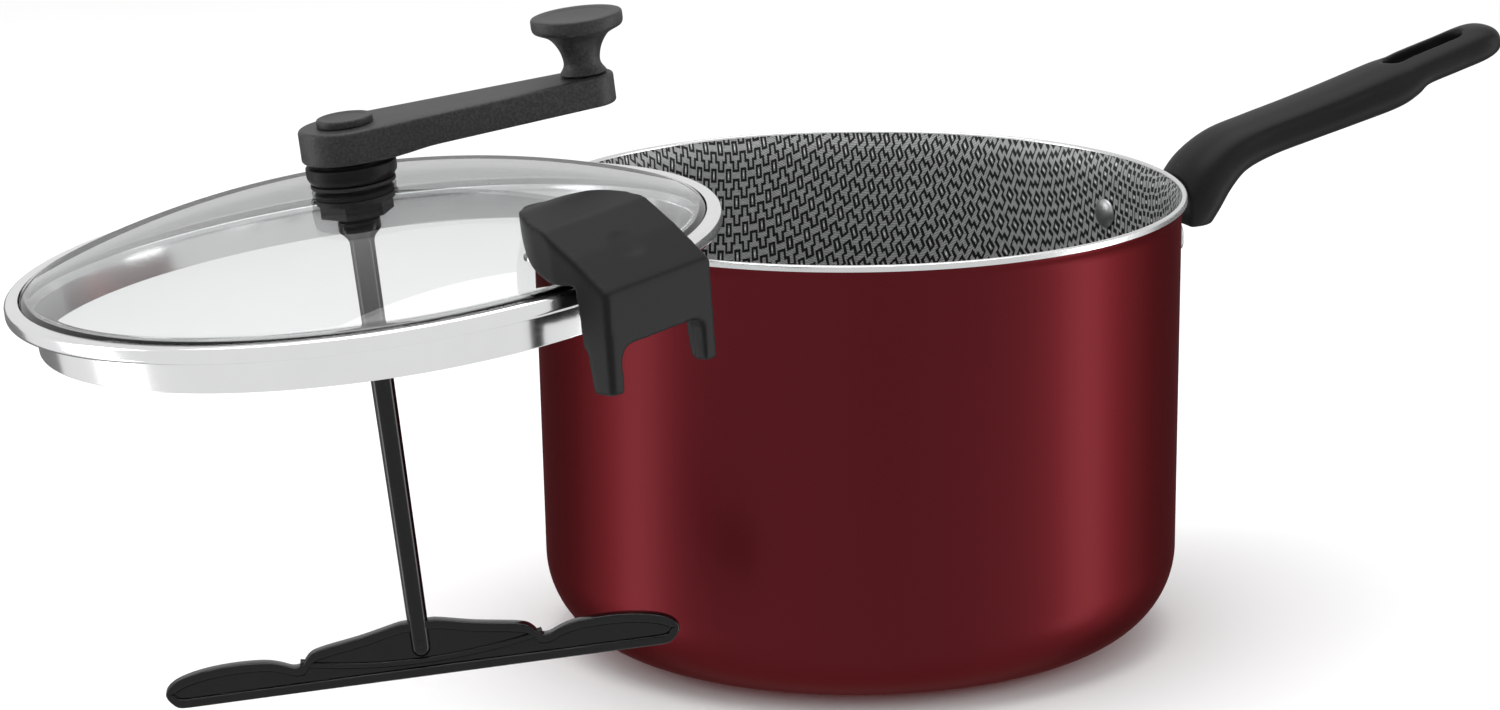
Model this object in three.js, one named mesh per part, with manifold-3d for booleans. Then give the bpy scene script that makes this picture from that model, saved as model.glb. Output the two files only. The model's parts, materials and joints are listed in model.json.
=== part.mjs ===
// Saucepan with a crank-stirrer glass lid. Millimetres, +Z up.
// Origin: centre of the pan's flat base. +X: along the pan's handle.
// The lid is shown lifted off, turned and leaning, beside the pan.

import * as THREE from 'three';
import { mergeVertices } from 'three/addons/utils/BufferGeometryUtils.js';
import Module from 'manifold-3d';

const wasm = await Module();
wasm.setup();

// ---------------------------------------------------------------- driving sizes

// Gaps between pieces that touch, and play round screws and pins.
const seatGap = 0.3;
const boltPlay = 0.3;
// How far a cutting tool runs past what it cuts.
const toolReach = 30;

// Pan: one drawn aluminium shell.
const panInnerRadius = 100;
const panWall = 2;
const panFloor = 4;
const panHeight = 141;
const panCornerRadius = 28;
const panTaper = 1.5;
const rimFlare = 1.8;
const rimFlareHeight = 6.5;
const rimBand = 2.2;

// Handle bracket, riveted to the wall, and its two rivets.
const bracketPlate = 1.8;
const bracketPlateHeight = 21;
const bracketPlateBelowRim = 8.5;
const bracketPlateMargin = 2.5;
const bracketPlateCorner = 5;
const rivetSpread = 42;
const rivetBelowRim = 19.5;
const rivetShankRadius = 2.4;
const rivetHeadRadius = 4.6;
const rivetHeadHeight = 1.7;
const rivetTailHeight = 1.3;
const tongueWidth = 14;
const tongueHeight = 7;
const tongueLength = 19;
const tongueBelowPlate = 0.7;
const handleScrewFromEnd = 6;
const handleScrewPastTongue = 8;

// Handle grip. Its side outline is measured from the wall and from the rim.
const gripWidth = 24;
const neckWidth = 28;
const tailWidth = 21;
const gripThickness = 13.8;
const gripSquareness = 2.5;
const gripSocketFloor = 3.2;
const screwHeadWall = 1.4;
const gripReach = 128.8;
const neckGap = 9.5;
const chinGap = 4.5;
const chinShare = 0.72;
const hangSlotLength = 29;
const hangSlotWidth = 8.4;
const hangSlotDepth = 4.5;
const hangHoleLength = 9.5;
const hangHoleWidth = 7.2;
const hangSlotFromTip = 13;
const handleScrewRadius = 2;
const handleScrewHeadRadius = 4;
const handleScrewHeadHeight = 1.6;

// Lid: a glass dome in a folded steel ring. Lid heights count from the ring's top plane.
const ringOverhang = 0.74;
const ringBand = 4.9;
const ringSteel = 0.6;
const ringGrip = 3.6;
const lipClearance = 3.6;
const lipDepth = 10.2;
const domeHeight = 19.4;
const ringOverGlass = 0.6;
const flatEdgeWidth = 1.6;
const glassThickness = 3.2;

// Hub: bush, nut and two gaskets clamp the glass; the stirrer rod turns in the bush.
const bushFlangeRadius = 13.2;
const bushFlangeHeight = 5.2;
const bushShankRadius = 5.9;
const gasketThickness = 1;
const nutRadius = 10.8;
const nutHeight = 5;
const nutSides = 6;
const nutFlangeHeight = 1.4;
const bushBelowNut = 1.2;
const gasketInset = 0.8;
const thrustWasherThickness = 0.6;

// Crank arm and its cap.
const armLength = 72.6;
const armHubRadius = 13.9;
const armTipRadius = 8.6;
const armThickness = 9.6;
const armTipThickness = 9;
const armRise = 1.6;
const capRadius = 8.2;
const capHeight = 2.2;
const crankScrewRadius = 1.9;
const crankScrewHeadRadius = 3.8;
const crankScrewHeadHeight = 2.4;
const crankScrewLength = 16;
const crankScrewSunk = 1.3;
const capPlugDepth = 1.1;
const rodInArm = 5.4;

// Knob on its shouldered pin.
const knobRadius = 13.5;
const knobHeight = 17.6;
const knobDisc = 5;
const knobNeckRadius = 5.3;
const knobPinRadius = 3;
const knobPinHeadRadius = 4.6;
const knobPinHeadHeight = 1.8;
const knobLift = 0.5;

// Stirrer: rod and paddle blade.
const rodTopRadius = 3.6;
const rodTipRadius = 3;
const rodDepth = 126.2;
const rodCollarRadius = 6.2;
const rodCollarHeight = 3;
const bladeLength = 153;
const bladeDepth = 130.5;
const bladeLobeHeight = 11;
const bladeWebHeight = 17;
const bladeNotchAt = 37;
const bladeNotchDrop = 3.2;
const bladeThickness = 4.4;
const bladeWeb = 2.2;
const bladeBorder = 2.4;
const bladePinRadius = 1.3;
const bladePinShare = 0.62;
const rodTipLength = 4.6;
const rodCollarTaper = 2.6;
const thrustWasherRim = 5;
const bladeTurn = -15.6;

// Lock bracket: thumb pad over the ring, with two legs that straddle the pan's handle.
const lockWidth = 42.6;
const lockReach = 14;
const lockInnerRadius = 69;
const lockCrown = 19.3;
const lockKneeInset = 22;
const lockKneeHeight = 17;
const lockShell = 2.6;
const legFront = 5;
const legWeb = 6.6;
const legFlange = 3;
const legDraft = 2;
const legDepth = 11.6;
const legDrop = 28.4;
const crossbarDrop = 15.4;
const lockScrewRadius = 2;
const lockScrewHeadRadius = 4.2;
const lockScrewHeadHeight = 2.2;
const lockScrewInset = 42.5;
const lockBossRadius = 5.5;
const lockWasherRadius = 7;
const lockWasherThickness = 1;
const padThickness = 1;
const dimpleRadius = 7.5;
const dimpleDepth = 0.8;
const dimpleLift = 1.1;
const crotchRadius = 4;

// How the lid is displayed beside the pan.
const displayTurn = -22.5;
const displayPosition = [-146, -129, 154];
const displayLean = [0.86, -6.19];
const lockTurn = -42.5;
const crankTurn = 61.1;

// Facets round a full turn.
const largeFacets = 48;
const mediumFacets = 24;
const smallFacets = 14;

// ---------------------------------------------------------------- sizes that follow

const panOuterRadius = panInnerRadius + panWall;
const rimRadius = panOuterRadius + rimFlare;
const ringRadius = rimRadius + ringOverhang;
const lipRadius = panInnerRadius - lipClearance;
const glassTopAtRing = -(ringSteel + seatGap);
const glassEdgeRadius = ringRadius - ringSteel - seatGap;
const domeFootRadius = ringRadius - ringGrip;
const domeSphere = (domeFootRadius ** 2 + domeHeight ** 2) / (2 * domeHeight);
const domeCentre = domeHeight - domeSphere;

// Height of the dome's outer surface at a distance from the lid's axis.
const domeTop = (r) => domeCentre + Math.sqrt(domeSphere ** 2 - r ** 2);
// Height of the dome's inner surface.
const domeUnder = (r) => domeCentre + Math.sqrt((domeSphere - glassThickness) ** 2 - r ** 2);

const upperGasketBottom = domeTop(0) + seatGap;
const bushFlangeBottom = upperGasketBottom + gasketThickness + seatGap;
const bushFlangeTop = bushFlangeBottom + bushFlangeHeight;
const gasketRadius = bushFlangeRadius - gasketInset;
const lowerGasketTop = domeUnder(gasketRadius) - seatGap;
const nutTop = lowerGasketTop - gasketThickness - seatGap;
const nutBottom = nutTop - nutHeight;
const bushBottom = nutBottom - bushBelowNut;
const rodBoreRadius = rodTopRadius + seatGap;
const washerBottom = bushFlangeTop + seatGap;
const armBottom = washerBottom + thrustWasherThickness + seatGap;
const armTop = armBottom + armThickness;
const rodTop = armBottom + rodInArm;
const armTipTop = armTop + armRise;
const knobBottom = armTipTop + knobLift;
const knobTop = knobBottom + knobHeight;
const knobPinBottom = armTipTop - armTipThickness + seatGap;
const radians = THREE.MathUtils.degToRad;

// ---------------------------------------------------------------- geometry helpers

// Merges shared corners and drops triangles that have collapsed onto a line.
function tidyMesh(geometry) {
  const bare = geometry.clone();
  for (const name of Object.keys(bare.attributes)) {
    if (name !== 'position') bare.deleteAttribute(name);
  }
  const merged = mergeVertices(bare, 1e-4);
  const corners = merged.index.array;
  const kept = [];
  for (let i = 0; i < corners.length; i += 3) {
    const [a, b, c] = [corners[i], corners[i + 1], corners[i + 2]];
    if (a !== b && b !== c && a !== c) kept.push(a, b, c);
  }
  merged.setIndex(kept);
  return merged;
}

function toSolid(geometry) {
  const merged = tidyMesh(geometry);
  return new wasm.Manifold(new wasm.Mesh({
    numProp: 3,
    vertProperties: new Float32Array(merged.attributes.position.array),
    triVerts: new Uint32Array(merged.index.array),
  }));
}

function toGeometry(solid) {
  const mesh = solid.getMesh();
  const geometry = new THREE.BufferGeometry();
  geometry.setAttribute('position', new THREE.BufferAttribute(new Float32Array(mesh.vertProperties), 3));
  geometry.setIndex(new THREE.BufferAttribute(new Uint32Array(mesh.triVerts), 1));
  return geometry;
}

function cut(geometry, ...tools) {
  return toGeometry(tools.reduce((body, tool) => body.subtract(toSolid(tool)), toSolid(geometry)));
}

function join(geometry, ...others) {
  return toGeometry(others.reduce((body, other) => body.add(toSolid(other)), toSolid(geometry)));
}

function common(geometry, ...others) {
  return toGeometry(others.reduce((body, other) => body.intersect(toSolid(other)), toSolid(geometry)));
}

// Turns a closed outline of [radius, height] pairs about the Z axis. The outline runs
// up its outer side, inwards over the top and down its inner side.
function turned(outline, facets) {
  const closed = [...outline, outline[0]].map(([r, z]) => new THREE.Vector2(r, z));
  return tidyMesh(new THREE.LatheGeometry(closed, facets).rotateX(Math.PI / 2));
}

function rod(radius, bottom, top, facets = smallFacets) {
  return turned([[0, bottom], [radius, bottom], [radius, top], [0, top]], facets);
}

function washer(inner, outer, bottom, top, facets = mediumFacets) {
  return turned([[inner, bottom], [outer, bottom], [outer, top], [inner, top]], facets);
}

// Points on an arc from one angle to another, in degrees.
function arc(centre, radius, from, to, steps) {
  return Array.from({ length: steps + 1 }, (_, i) => {
    const angle = radians(from + (to - from) * i / steps);
    return [centre[0] + radius * Math.cos(angle), centre[1] + radius * Math.sin(angle)];
  });
}

// A smooth curve through a few outline points.
function smooth(points, steps) {
  const curve = new THREE.SplineCurve(points.map(([x, y]) => new THREE.Vector2(x, y)));
  return curve.getPoints(steps).map((p) => [p.x, p.y]);
}

function shapeOf(points) {
  return new THREE.Shape(points.map(([x, y]) => new THREE.Vector2(x, y)));
}

// Extrudes an outline along +Z, with its edges rounded by bevel and its size kept.
function slab(points, depth, bevel = 0, steps = 2) {
  const geometry = new THREE.ExtrudeGeometry(shapeOf(points), {
    depth: depth - 2 * bevel,
    bevelEnabled: bevel > 0,
    bevelThickness: bevel,
    bevelSize: bevel,
    bevelOffset: -bevel,
    bevelSegments: steps,
    curveSegments: 12,
  });
  return geometry.translate(0, 0, bevel);
}

// Extrudes a side outline of [x, z] pairs across Y, centred on Y = 0.
function sideSlab(points, width, bevel = 0, steps = 2) {
  return slab(points, width, bevel, steps).rotateX(Math.PI / 2).translate(0, width / 2, 0);
}

function block(low, high) {
  const size = low.map((value, i) => high[i] - value);
  const middle = low.map((value, i) => (value + high[i]) / 2);
  return new THREE.BoxGeometry(...size).translate(...middle);
}

// An outline with straight sides and two round ends, centred on the origin along X.
function obround(length, width, steps = 8) {
  const half = length / 2 - width / 2;
  return [...arc([half, 0], width / 2, -90, 90, steps), ...arc([-half, 0], width / 2, 90, 270, steps)];
}

// ---------------------------------------------------------------- finishes

function finish(color, roughness, metalness, opacity = 1) {
  return new THREE.MeshStandardMaterial({ color, roughness, metalness, opacity, transparent: opacity < 1 });
}

const redLacquer = finish(0x6a2129, 0.35, 0.45);
const blackPhenolic = finish(0x2b2b2c, 0.6, 0);
const grainedBlack = finish(0x2e2e2f, 0.7, 0);
const glossBlack = finish(0x151516, 0.2, 0);
const polishedSteel = finish(0xd8dadc, 0.15, 1);
const bareAluminium = finish(0xc9cbcc, 0.3, 0.9);
const clearGlass = finish(0xd9e0e0, 0.05, 0, 0.35);
const greySilicone = finish(0x3a3a3c, 0.8, 0);

function piece(name, geometry, material) {
  const mesh = new THREE.Mesh(tidyMesh(geometry), material);
  mesh.name = name;
  return mesh;
}

// ---------------------------------------------------------------- pan

const rivetAngle = Math.asin(rivetSpread / 2 / panOuterRadius);
const rivetHeight = panHeight - rivetBelowRim;

// Stands a piece turned about Z out along +X at a rivet's height and direction.
function alongRivet(geometry, side) {
  return geometry.clone().rotateY(Math.PI / 2).translate(0, 0, rivetHeight).rotateZ(side * rivetAngle);
}

function panBody() {
  const footRadius = panOuterRadius - panTaper;
  const arcCentre = [footRadius - panCornerRadius, panCornerRadius];
  const innerArcRadius = panCornerRadius - panWall;
  const innerCentre = [arcCentre[0], panFloor + innerArcRadius];
  const flareFoot = panHeight - rimFlareHeight;
  const outline = [
    [0, 0],
    ...arc(arcCentre, panCornerRadius, -90, 0, 6),
    [panOuterRadius, flareFoot],
    [panOuterRadius + rimFlare * 0.35, flareFoot + rimFlareHeight * 0.35],
    [rimRadius, panHeight - rimBand],
    [rimRadius, panHeight - 0.5],
    [rimRadius - 0.5, panHeight],
    [rimRadius - panWall + 0.3, panHeight],
    [panInnerRadius + rimFlare * 0.3, flareFoot + rimFlareHeight * 0.4],
    [panInnerRadius, flareFoot - 1.5],
    ...arc(innerCentre, innerArcRadius, 0, -90, 6),
    [0, panFloor],
  ];
  const hole = rod(rivetShankRadius + boltPlay, panInnerRadius - toolReach, rimRadius + toolReach);
  return cut(turned(outline, largeFacets), alongRivet(hole, 1), alongRivet(hole, -1));
}

const plateInner = panOuterRadius + seatGap;
const plateOuter = plateInner + bracketPlate;
const plateTop = panHeight - bracketPlateBelowRim;
const plateBottom = plateTop - bracketPlateHeight;
const tongueTop = plateTop - tongueBelowPlate;
const tongueBottom = tongueTop - tongueHeight;
const tongueEnd = plateInner + tongueLength;
const screwAt = tongueEnd - handleScrewFromEnd;

function handleBracket() {
  const ring = washer(plateInner, plateOuter, plateBottom, plateTop, largeFacets);
  const halfPlate = rivetSpread / 2 + rivetHeadRadius + bracketPlateMargin;
  const corner = bracketPlateCorner;
  const face = [
    ...arc([halfPlate - corner, plateBottom + corner], corner, -90, 0, 5),
    ...arc([halfPlate - corner, plateTop - corner], corner, 0, 90, 5),
    ...arc([-halfPlate + corner, plateTop - corner], corner, 90, 180, 5),
    ...arc([-halfPlate + corner, plateBottom + corner], corner, 180, 270, 5),
  ];
  const window = slab(face, plateOuter).rotateX(Math.PI / 2).rotateZ(Math.PI / 2);
  const tongue = block([plateInner + bracketPlate / 2, -tongueWidth / 2, tongueBottom],
    [tongueEnd, tongueWidth / 2, tongueTop]);
  const channel = block([plateOuter, -tongueWidth / 2 + bracketPlate, tongueBottom - 1],
    [tongueEnd + 1, tongueWidth / 2 - bracketPlate, tongueTop - bracketPlate]);
  const hole = rod(rivetShankRadius + boltPlay, panInnerRadius - toolReach, plateOuter + toolReach);
  const screwHole = rod(handleScrewRadius + boltPlay, tongueBottom, tongueTop + 1)
    .translate(screwAt, 0, 0);
  return cut(join(common(ring, window), cut(tongue, channel)),
    alongRivet(hole, 1), alongRivet(hole, -1), screwHole);
}

// A rivet: domed head inside the pan, shank through wall and plate, flat upset tail outside.
function rivet(side) {
  const headFoot = panInnerRadius * Math.cos(Math.PI / largeFacets) - seatGap - 0.1;
  const crown = arc([headFoot, 0], 1, 90, 180, 4).map(([x, y]) =>
    [y * rivetHeadRadius, headFoot + (x - headFoot) * rivetHeadHeight]);
  const tailFoot = plateOuter + seatGap;
  const outline = [
    ...crown.reverse(),
    [rivetShankRadius, headFoot],
    [rivetShankRadius, tailFoot],
    [rivetHeadRadius - 0.4, tailFoot],
    [rivetHeadRadius - 1, tailFoot + rivetTailHeight],
    [0, tailFoot + rivetTailHeight],
  ];
  return alongRivet(turned(outline, smallFacets), side);
}

// ---------------------------------------------------------------- handle

// Stations along the grip: [out from the wall, up from the rim, half thickness, half width].
const neckHalf = neckWidth / 2;
const gripHalf = gripWidth / 2;
const tailHalf = tailWidth / 2;
const gripStations = [
  [8, -20.6, gripThickness * 0.74, neckHalf - 1],
  [15.2, -11.4, gripThickness * 0.66, neckHalf],
  [20.6, -4.2, gripThickness * 0.63, neckHalf - 0.4],
  [28.5, 2, gripThickness * 0.55, gripHalf + 0.8],
  [40, 6.1, gripThickness * 0.5, gripHalf],
  [55, 10, gripThickness * 0.5, gripHalf],
  [70, 13.9, gripThickness * 0.52, gripHalf + 0.2],
  [86, 18.3, gripThickness * 0.55, gripHalf],
  [92.5, 20.6, gripThickness * 0.5, gripHalf - 0.4],
  [98, 23.4, gripThickness * 0.42, gripHalf - 1],
  [110, 26.9, gripThickness * 0.42, tailHalf],
  [gripReach - 8.5, 29.9, gripThickness * 0.42, tailHalf - 0.3],
  [gripReach - 3.4, 31.3, gripThickness * 0.34, tailHalf * 0.82],
  [gripReach - 0.8, 32, gripThickness * 0.19, tailHalf * 0.45],
  [gripReach, 32.2, gripThickness * 0.03, tailHalf * 0.08],
];

// A solid swept through the stations. Each ring is a superellipse square to the centre line.
function sweptGrip(rings, around) {
  const centre = new THREE.SplineCurve(gripStations.map(([out, up]) =>
    new THREE.Vector2(panOuterRadius + out, panHeight + up)));
  const size = new THREE.SplineCurve(gripStations.map(([, , thick, wide]) =>
    new THREE.Vector2(thick, wide)));
  const power = 2 / gripSquareness;
  const soften = (value) => Math.sign(value) * Math.abs(value) ** power;
  const corners = [];
  for (let i = 0; i < rings; i += 1) {
    const along = i / (rings - 1);
    const middle = centre.getPoint(along);
    const normal = centre.getTangent(along).rotateAround(new THREE.Vector2(), Math.PI / 2);
    const { x: thick, y: wide } = size.getPoint(along);
    for (let j = 0; j < around; j += 1) {
      const angle = 2 * Math.PI * j / around;
      const rise = thick * soften(Math.sin(angle));
      corners.push(middle.x + normal.x * rise, wide * soften(Math.cos(angle)), middle.y + normal.y * rise);
    }
  }
  const faces = [];
  for (let i = 0; i < rings - 1; i += 1) {
    for (let j = 0; j < around; j += 1) {
      const [a, b] = [i * around + j, i * around + (j + 1) % around];
      faces.push(a, b, a + around, b, b + around, a + around);
    }
  }
  const last = (rings - 1) * around;
  for (let j = 1; j < around - 1; j += 1) faces.push(0, j + 1, j, last, last + j, last + j + 1);
  const geometry = new THREE.BufferGeometry();
  geometry.setAttribute('position', new THREE.Float32BufferAttribute(corners, 3));
  geometry.setIndex(faces);
  return geometry;
}

function handleGrip() {
  const body = sweptGrip(30, 22);
  const gripFloor = tongueBottom - gripSocketFloor;
  const chin = block([panOuterRadius + chinGap, -neckHalf * chinShare, gripFloor],
    [panOuterRadius + neckGap + 4, neckHalf * chinShare, tongueBottom - seatGap - 1]);
  const wallSide = block([panOuterRadius - toolReach, -toolReach, panHeight - 2 * toolReach],
    [panOuterRadius + neckGap, toolReach, panHeight + toolReach]);
  const below = block([panOuterRadius - toolReach, -toolReach, gripFloor - toolReach],
    [panOuterRadius + neckGap + toolReach, toolReach, gripFloor]);
  const socket = block([panOuterRadius, -tongueWidth / 2 - seatGap, tongueBottom - seatGap],
    [tongueEnd + seatGap, tongueWidth / 2 + seatGap, tongueTop + seatGap]);
  const screwHole = rod(handleScrewRadius + boltPlay, gripFloor - toolReach,
    tongueTop + handleScrewPastTongue + 1).translate(screwAt, 0, 0);
  const counterbore = rod(handleScrewHeadRadius + boltPlay, gripFloor - toolReach,
    tongueBottom - screwHeadWall).translate(screwAt, 0, 0);
  const [near, far] = [gripStations[5], gripStations[10]];
  const slope = Math.atan2(far[1] + far[2] - near[1] - near[2], far[0] - near[0]);
  const slotMiddle = gripReach - hangSlotFromTip - hangSlotLength / 2;
  const topAt = near[1] + near[2] + (slotMiddle - near[0]) * Math.tan(slope);
  const holeShift = (hangSlotLength - hangHoleLength) / 2 - (hangSlotWidth - hangHoleWidth) / 2;
  const onTop = (tool) => tool.rotateY(-slope).translate(panOuterRadius + slotMiddle, 0, panHeight + topAt);
  const slot = onTop(slab(obround(hangSlotLength, hangSlotWidth), toolReach)
    .translate(0, 0, -hangSlotDepth));
  const hole = onTop(slab(obround(hangHoleLength, hangHoleWidth), 2 * toolReach)
    .translate(holeShift, 0, -toolReach));
  return cut(join(cut(body, wallSide, below), chin), socket, screwHole, counterbore, slot, hole);
}

// A pan-head screw along +Z, its head at the bottom.
function screw(radius, headRadius, headHeight, bottom, top) {
  return turned([
    [0, bottom],
    [headRadius - 0.6, bottom],
    [headRadius, bottom + 0.6],
    [headRadius, bottom + headHeight],
    [radius, bottom + headHeight],
    [radius, top],
    [0, top],
  ], smallFacets);
}

function handleScrew() {
  const headTop = tongueBottom - screwHeadWall - seatGap;
  return screw(handleScrewRadius, handleScrewHeadRadius, handleScrewHeadHeight,
    headTop - handleScrewHeadHeight, tongueTop + handleScrewPastTongue).translate(screwAt, 0, 0);
}

// ---------------------------------------------------------------- lid

function lidRing() {
  const underFlange = -ringBand + ringSteel;
  const inner = domeFootRadius - ringOverGlass;
  return turned([
    [lipRadius - ringSteel, -ringBand - lipDepth],
    [lipRadius, -ringBand - lipDepth],
    [lipRadius + 0.5, -ringBand - 1.2],
    [lipRadius + 1.6, -ringBand],
    [ringRadius - 1, -ringBand],
    [ringRadius, -ringBand + 0.9],
    [ringRadius, -0.9],
    [ringRadius - 1, 0],
    [inner, 0],
    [inner, -ringSteel],
    [ringRadius - ringSteel - 0.4, -ringSteel],
    [ringRadius - ringSteel, -1.2],
    [ringRadius - ringSteel, underFlange - 0.1],
    [lipRadius + 0.8, underFlange],
    [lipRadius - ringSteel + 0.4, -ringBand - 1.2],
  ], largeFacets);
}

const lockScrewAt = ringRadius + lockReach - lockScrewInset;

function lidGlass() {
  const flatStart = domeFootRadius - flatEdgeWidth;
  const glassBottom = glassTopAtRing - glassThickness + 0.2;
  const radii = Array.from({ length: 8 }, (_, i) => flatStart * (1 - i / 7));
  const outer = radii.map((r) => [r, domeTop(r)]);
  const inner = [...radii].reverse().slice(0, -1).map((r) => [r, domeUnder(r)]);
  const outline = [
    [glassEdgeRadius - 0.5, glassBottom],
    [glassEdgeRadius, glassBottom + 0.5],
    [glassEdgeRadius, glassTopAtRing - 0.5],
    [glassEdgeRadius - 0.5, glassTopAtRing],
    [flatStart + 0.9, glassTopAtRing],
    ...outer,
    ...inner,
    [flatStart - 1.4, glassBottom],
  ];
  const hubHole = rod(bushShankRadius + boltPlay, -toolReach, domeHeight + toolReach);
  const lockHole = rod(lockScrewRadius + 3 * boltPlay, -toolReach, domeHeight + toolReach)
    .translate(lockScrewAt, 0, 0);
  return cut(turned(outline, largeFacets), hubHole, lockHole);
}

function hubBush() {
  return turned([
    [rodBoreRadius, bushBottom],
    [bushShankRadius - 0.4, bushBottom],
    [bushShankRadius, bushBottom + 0.4],
    [bushShankRadius, bushFlangeBottom],
    [bushFlangeRadius - 1.2, bushFlangeBottom],
    [bushFlangeRadius, bushFlangeBottom + 1.6],
    [bushFlangeRadius, bushFlangeTop - 0.6],
    [bushFlangeRadius - 0.6, bushFlangeTop],
    [rodBoreRadius, bushFlangeTop],
  ], mediumFacets);
}

function upperGasket() {
  return washer(bushShankRadius + boltPlay, gasketRadius,
    upperGasketBottom, upperGasketBottom + gasketThickness);
}

function lowerGasket() {
  return washer(bushShankRadius + boltPlay, gasketRadius - 1,
    lowerGasketTop - gasketThickness, lowerGasketTop);
}

function hubNut() {
  const hexagon = arc([0, 0], nutRadius, 0, 360, nutSides).slice(0, -1);
  const flange = washer(bushShankRadius + boltPlay, nutRadius + 0.6, nutTop - nutFlangeHeight, nutTop);
  const bore = rod(bushShankRadius + boltPlay, nutBottom - 1, nutTop + 1);
  return cut(join(slab(hexagon, nutHeight - 0.7).translate(0, 0, nutBottom), flange), bore);
}

// ---------------------------------------------------------------- lock bracket

const lockOuter = ringRadius + lockReach;
const lockKnee = lockOuter - lockKneeInset;

// Top line of the bracket from its inner end to the outer edge, as [radius, height] pairs.
function lockTopLine() {
  const inner = [[lockInnerRadius, domeTop(lockInnerRadius) + 1.2], [lockInnerRadius + 4, lockCrown - 2],
    [lockInnerRadius + 10, lockCrown - 0.2], [lockKnee - 11, lockCrown], [lockKnee, lockKneeHeight]];
  const outer = [[lockKnee, lockKneeHeight], [lockKnee + 10.5, lockKneeHeight - 7.2],
    [lockOuter - 0.4, 0.9], [lockOuter, 0.2]];
  return [...smooth(inner, 12), ...outer.slice(1)];
}

function lockBracket() {
  const top = lockTopLine();
  const reachUnder = domeTop(lockInnerRadius) - toolReach;
  const draftAt = (height) => lockOuter + legDraft * Math.min(height, 0) / legDrop;
  const outline = [[lockInnerRadius, reachUnder], [draftAt(reachUnder), reachUnder], ...[...top].reverse()];
  const body = sideSlab(outline, lockWidth, 1.2, 2);
  const legs = sideSlab([
    [lockOuter - legDepth + 1.6, -legDrop],
    [lockOuter - legDraft, -legDrop],
    [lockOuter, 0.4],
    [lockOuter - legDepth, 0.4],
  ], lockWidth, 0.8, 1);
  // Half the plan: a round nose that widens to the full width at the knee.
  const half = lockWidth / 2;
  const shoulders = smooth([[lockInnerRadius, 0.6], [lockInnerRadius + 1.5, 3.2],
    [lockInnerRadius + 5.5, 7.4], [lockInnerRadius + 12, half - 8.1], [lockKnee - 10.5, half - 4.2], [lockKnee - 5, half - 1.4],
    [lockKnee + 0.5, half - 0.3], [lockKnee + 6, half + 0.5]], 20);
  const plan = [...shoulders, [lockOuter + 2, half + 0.5]];
  const planSlab = slab([...plan, ...plan.map(([a, b]) => [a, -b]).reverse()], 4 * toolReach)
    .translate(0, 0, -2 * toolReach);
  // What the bracket rests over: the dome with a little air, then the ring.
  const air = padThickness + 2 * seatGap;
  const underRadii = Array.from({ length: 9 }, (_, i) => domeFootRadius * i / 8);
  const dome = turned([
    [0, -2 * toolReach],
    [ringRadius + seatGap + 0.4, -2 * toolReach],
    [ringRadius + seatGap + 0.4, seatGap + 0.9],
    [domeFootRadius - 1.5, seatGap + 1.9],
    ...underRadii.reverse().slice(1).map((r) => [r, domeTop(r) + air]),
  ], largeFacets);
  // The inside is hollow: side walls, top and front keep the shell's thickness.
  const hollowTop = top.filter(([r]) => r > lockInnerRadius + 14 && r < lockOuter - 3)
    .map(([r, z]) => [r - lockShell * 0.35, z - lockShell]);
  const hollowFoot = hollowTop[hollowTop.length - 1][0];
  const hollow = sideSlab([[hollowTop[0][0], -2 * toolReach], [hollowFoot - legDraft, -2 * toolReach],
    [hollowFoot, 0], ...hollowTop.reverse()], lockWidth - 2 * lockShell);
  const hollowPlan = plan.map(([r, wide]) => [r + lockShell, Math.max(wide - lockShell - 0.4, 1)]);
  const hollowSlab = slab([...hollowPlan, ...hollowPlan.map(([a, b]) => [a, -b]).reverse()], 4 * toolReach)
    .translate(0, 0, -2 * toolReach);
  const boss = rod(lockBossRadius, -toolReach, lockCrown - 1.4, mediumFacets).translate(lockScrewAt, 0, 0);
  const screwHole = rod(lockScrewRadius + boltPlay, -toolReach, lockCrown - 3).translate(lockScrewAt, 0, 0);
  const belowBar = block([lockOuter - legDepth - toolReach, -lockWidth, -2 * toolReach],
    [lockOuter + 1, lockWidth, -crossbarDrop]);
  const gap = sideGap(lockWidth / 2 - legFront, crotchRadius);
  // Each leg is an angle: a web behind its front face and a thinner flange down its side.
  const angleGap = block([lockOuter - legDepth - toolReach, -lockWidth / 2 + legFlange, -2 * toolReach],
    [lockOuter - legWeb, lockWidth / 2 - legFlange, -crossbarDrop]);
  const skirtFoot = block([0, -lockWidth, -2 * toolReach], [lockOuter - legDepth, lockWidth, 2]);
  const shell = cut(common(body, planSlab), common(hollow, hollowSlab), belowBar);
  const whole = join(cut(shell, skirtFoot), cut(common(legs, planSlab), gap, angleGap), cut(boss, dome));
  const facetTurn = Math.atan2(lockKneeHeight, lockKneeInset);
  const dimple = new THREE.SphereGeometry(dimpleBall(), 30, 24)
    .translate(0, 0, dimpleBall() - dimpleDepth)
    .rotateY(facetTurn)
    .translate(lockKnee + lockKneeInset / 2, 0, lockKneeHeight / 2 + dimpleLift);
  return cut(whole, dome, screwHole, dimple);
}

// Radius of the ball whose cap is the thumb dimple.
function dimpleBall() {
  return (dimpleRadius ** 2 + dimpleDepth ** 2) / (2 * dimpleDepth);
}

// The opening between the legs, with rounded upper corners, cut right through along X.
function sideGap(half, corner) {
  const top = -crossbarDrop;
  const outline = [
    [half, -3 * toolReach],
    ...arc([half - corner, top - corner], corner, 0, 90, 4),
    ...arc([-half + corner, top - corner], corner, 90, 180, 4),
    [-half, -3 * toolReach],
  ];
  return slab(outline, 2 * toolReach).rotateX(Math.PI / 2).rotateZ(Math.PI / 2)
    .translate(lockOuter - toolReach, 0, 0);
}

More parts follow.
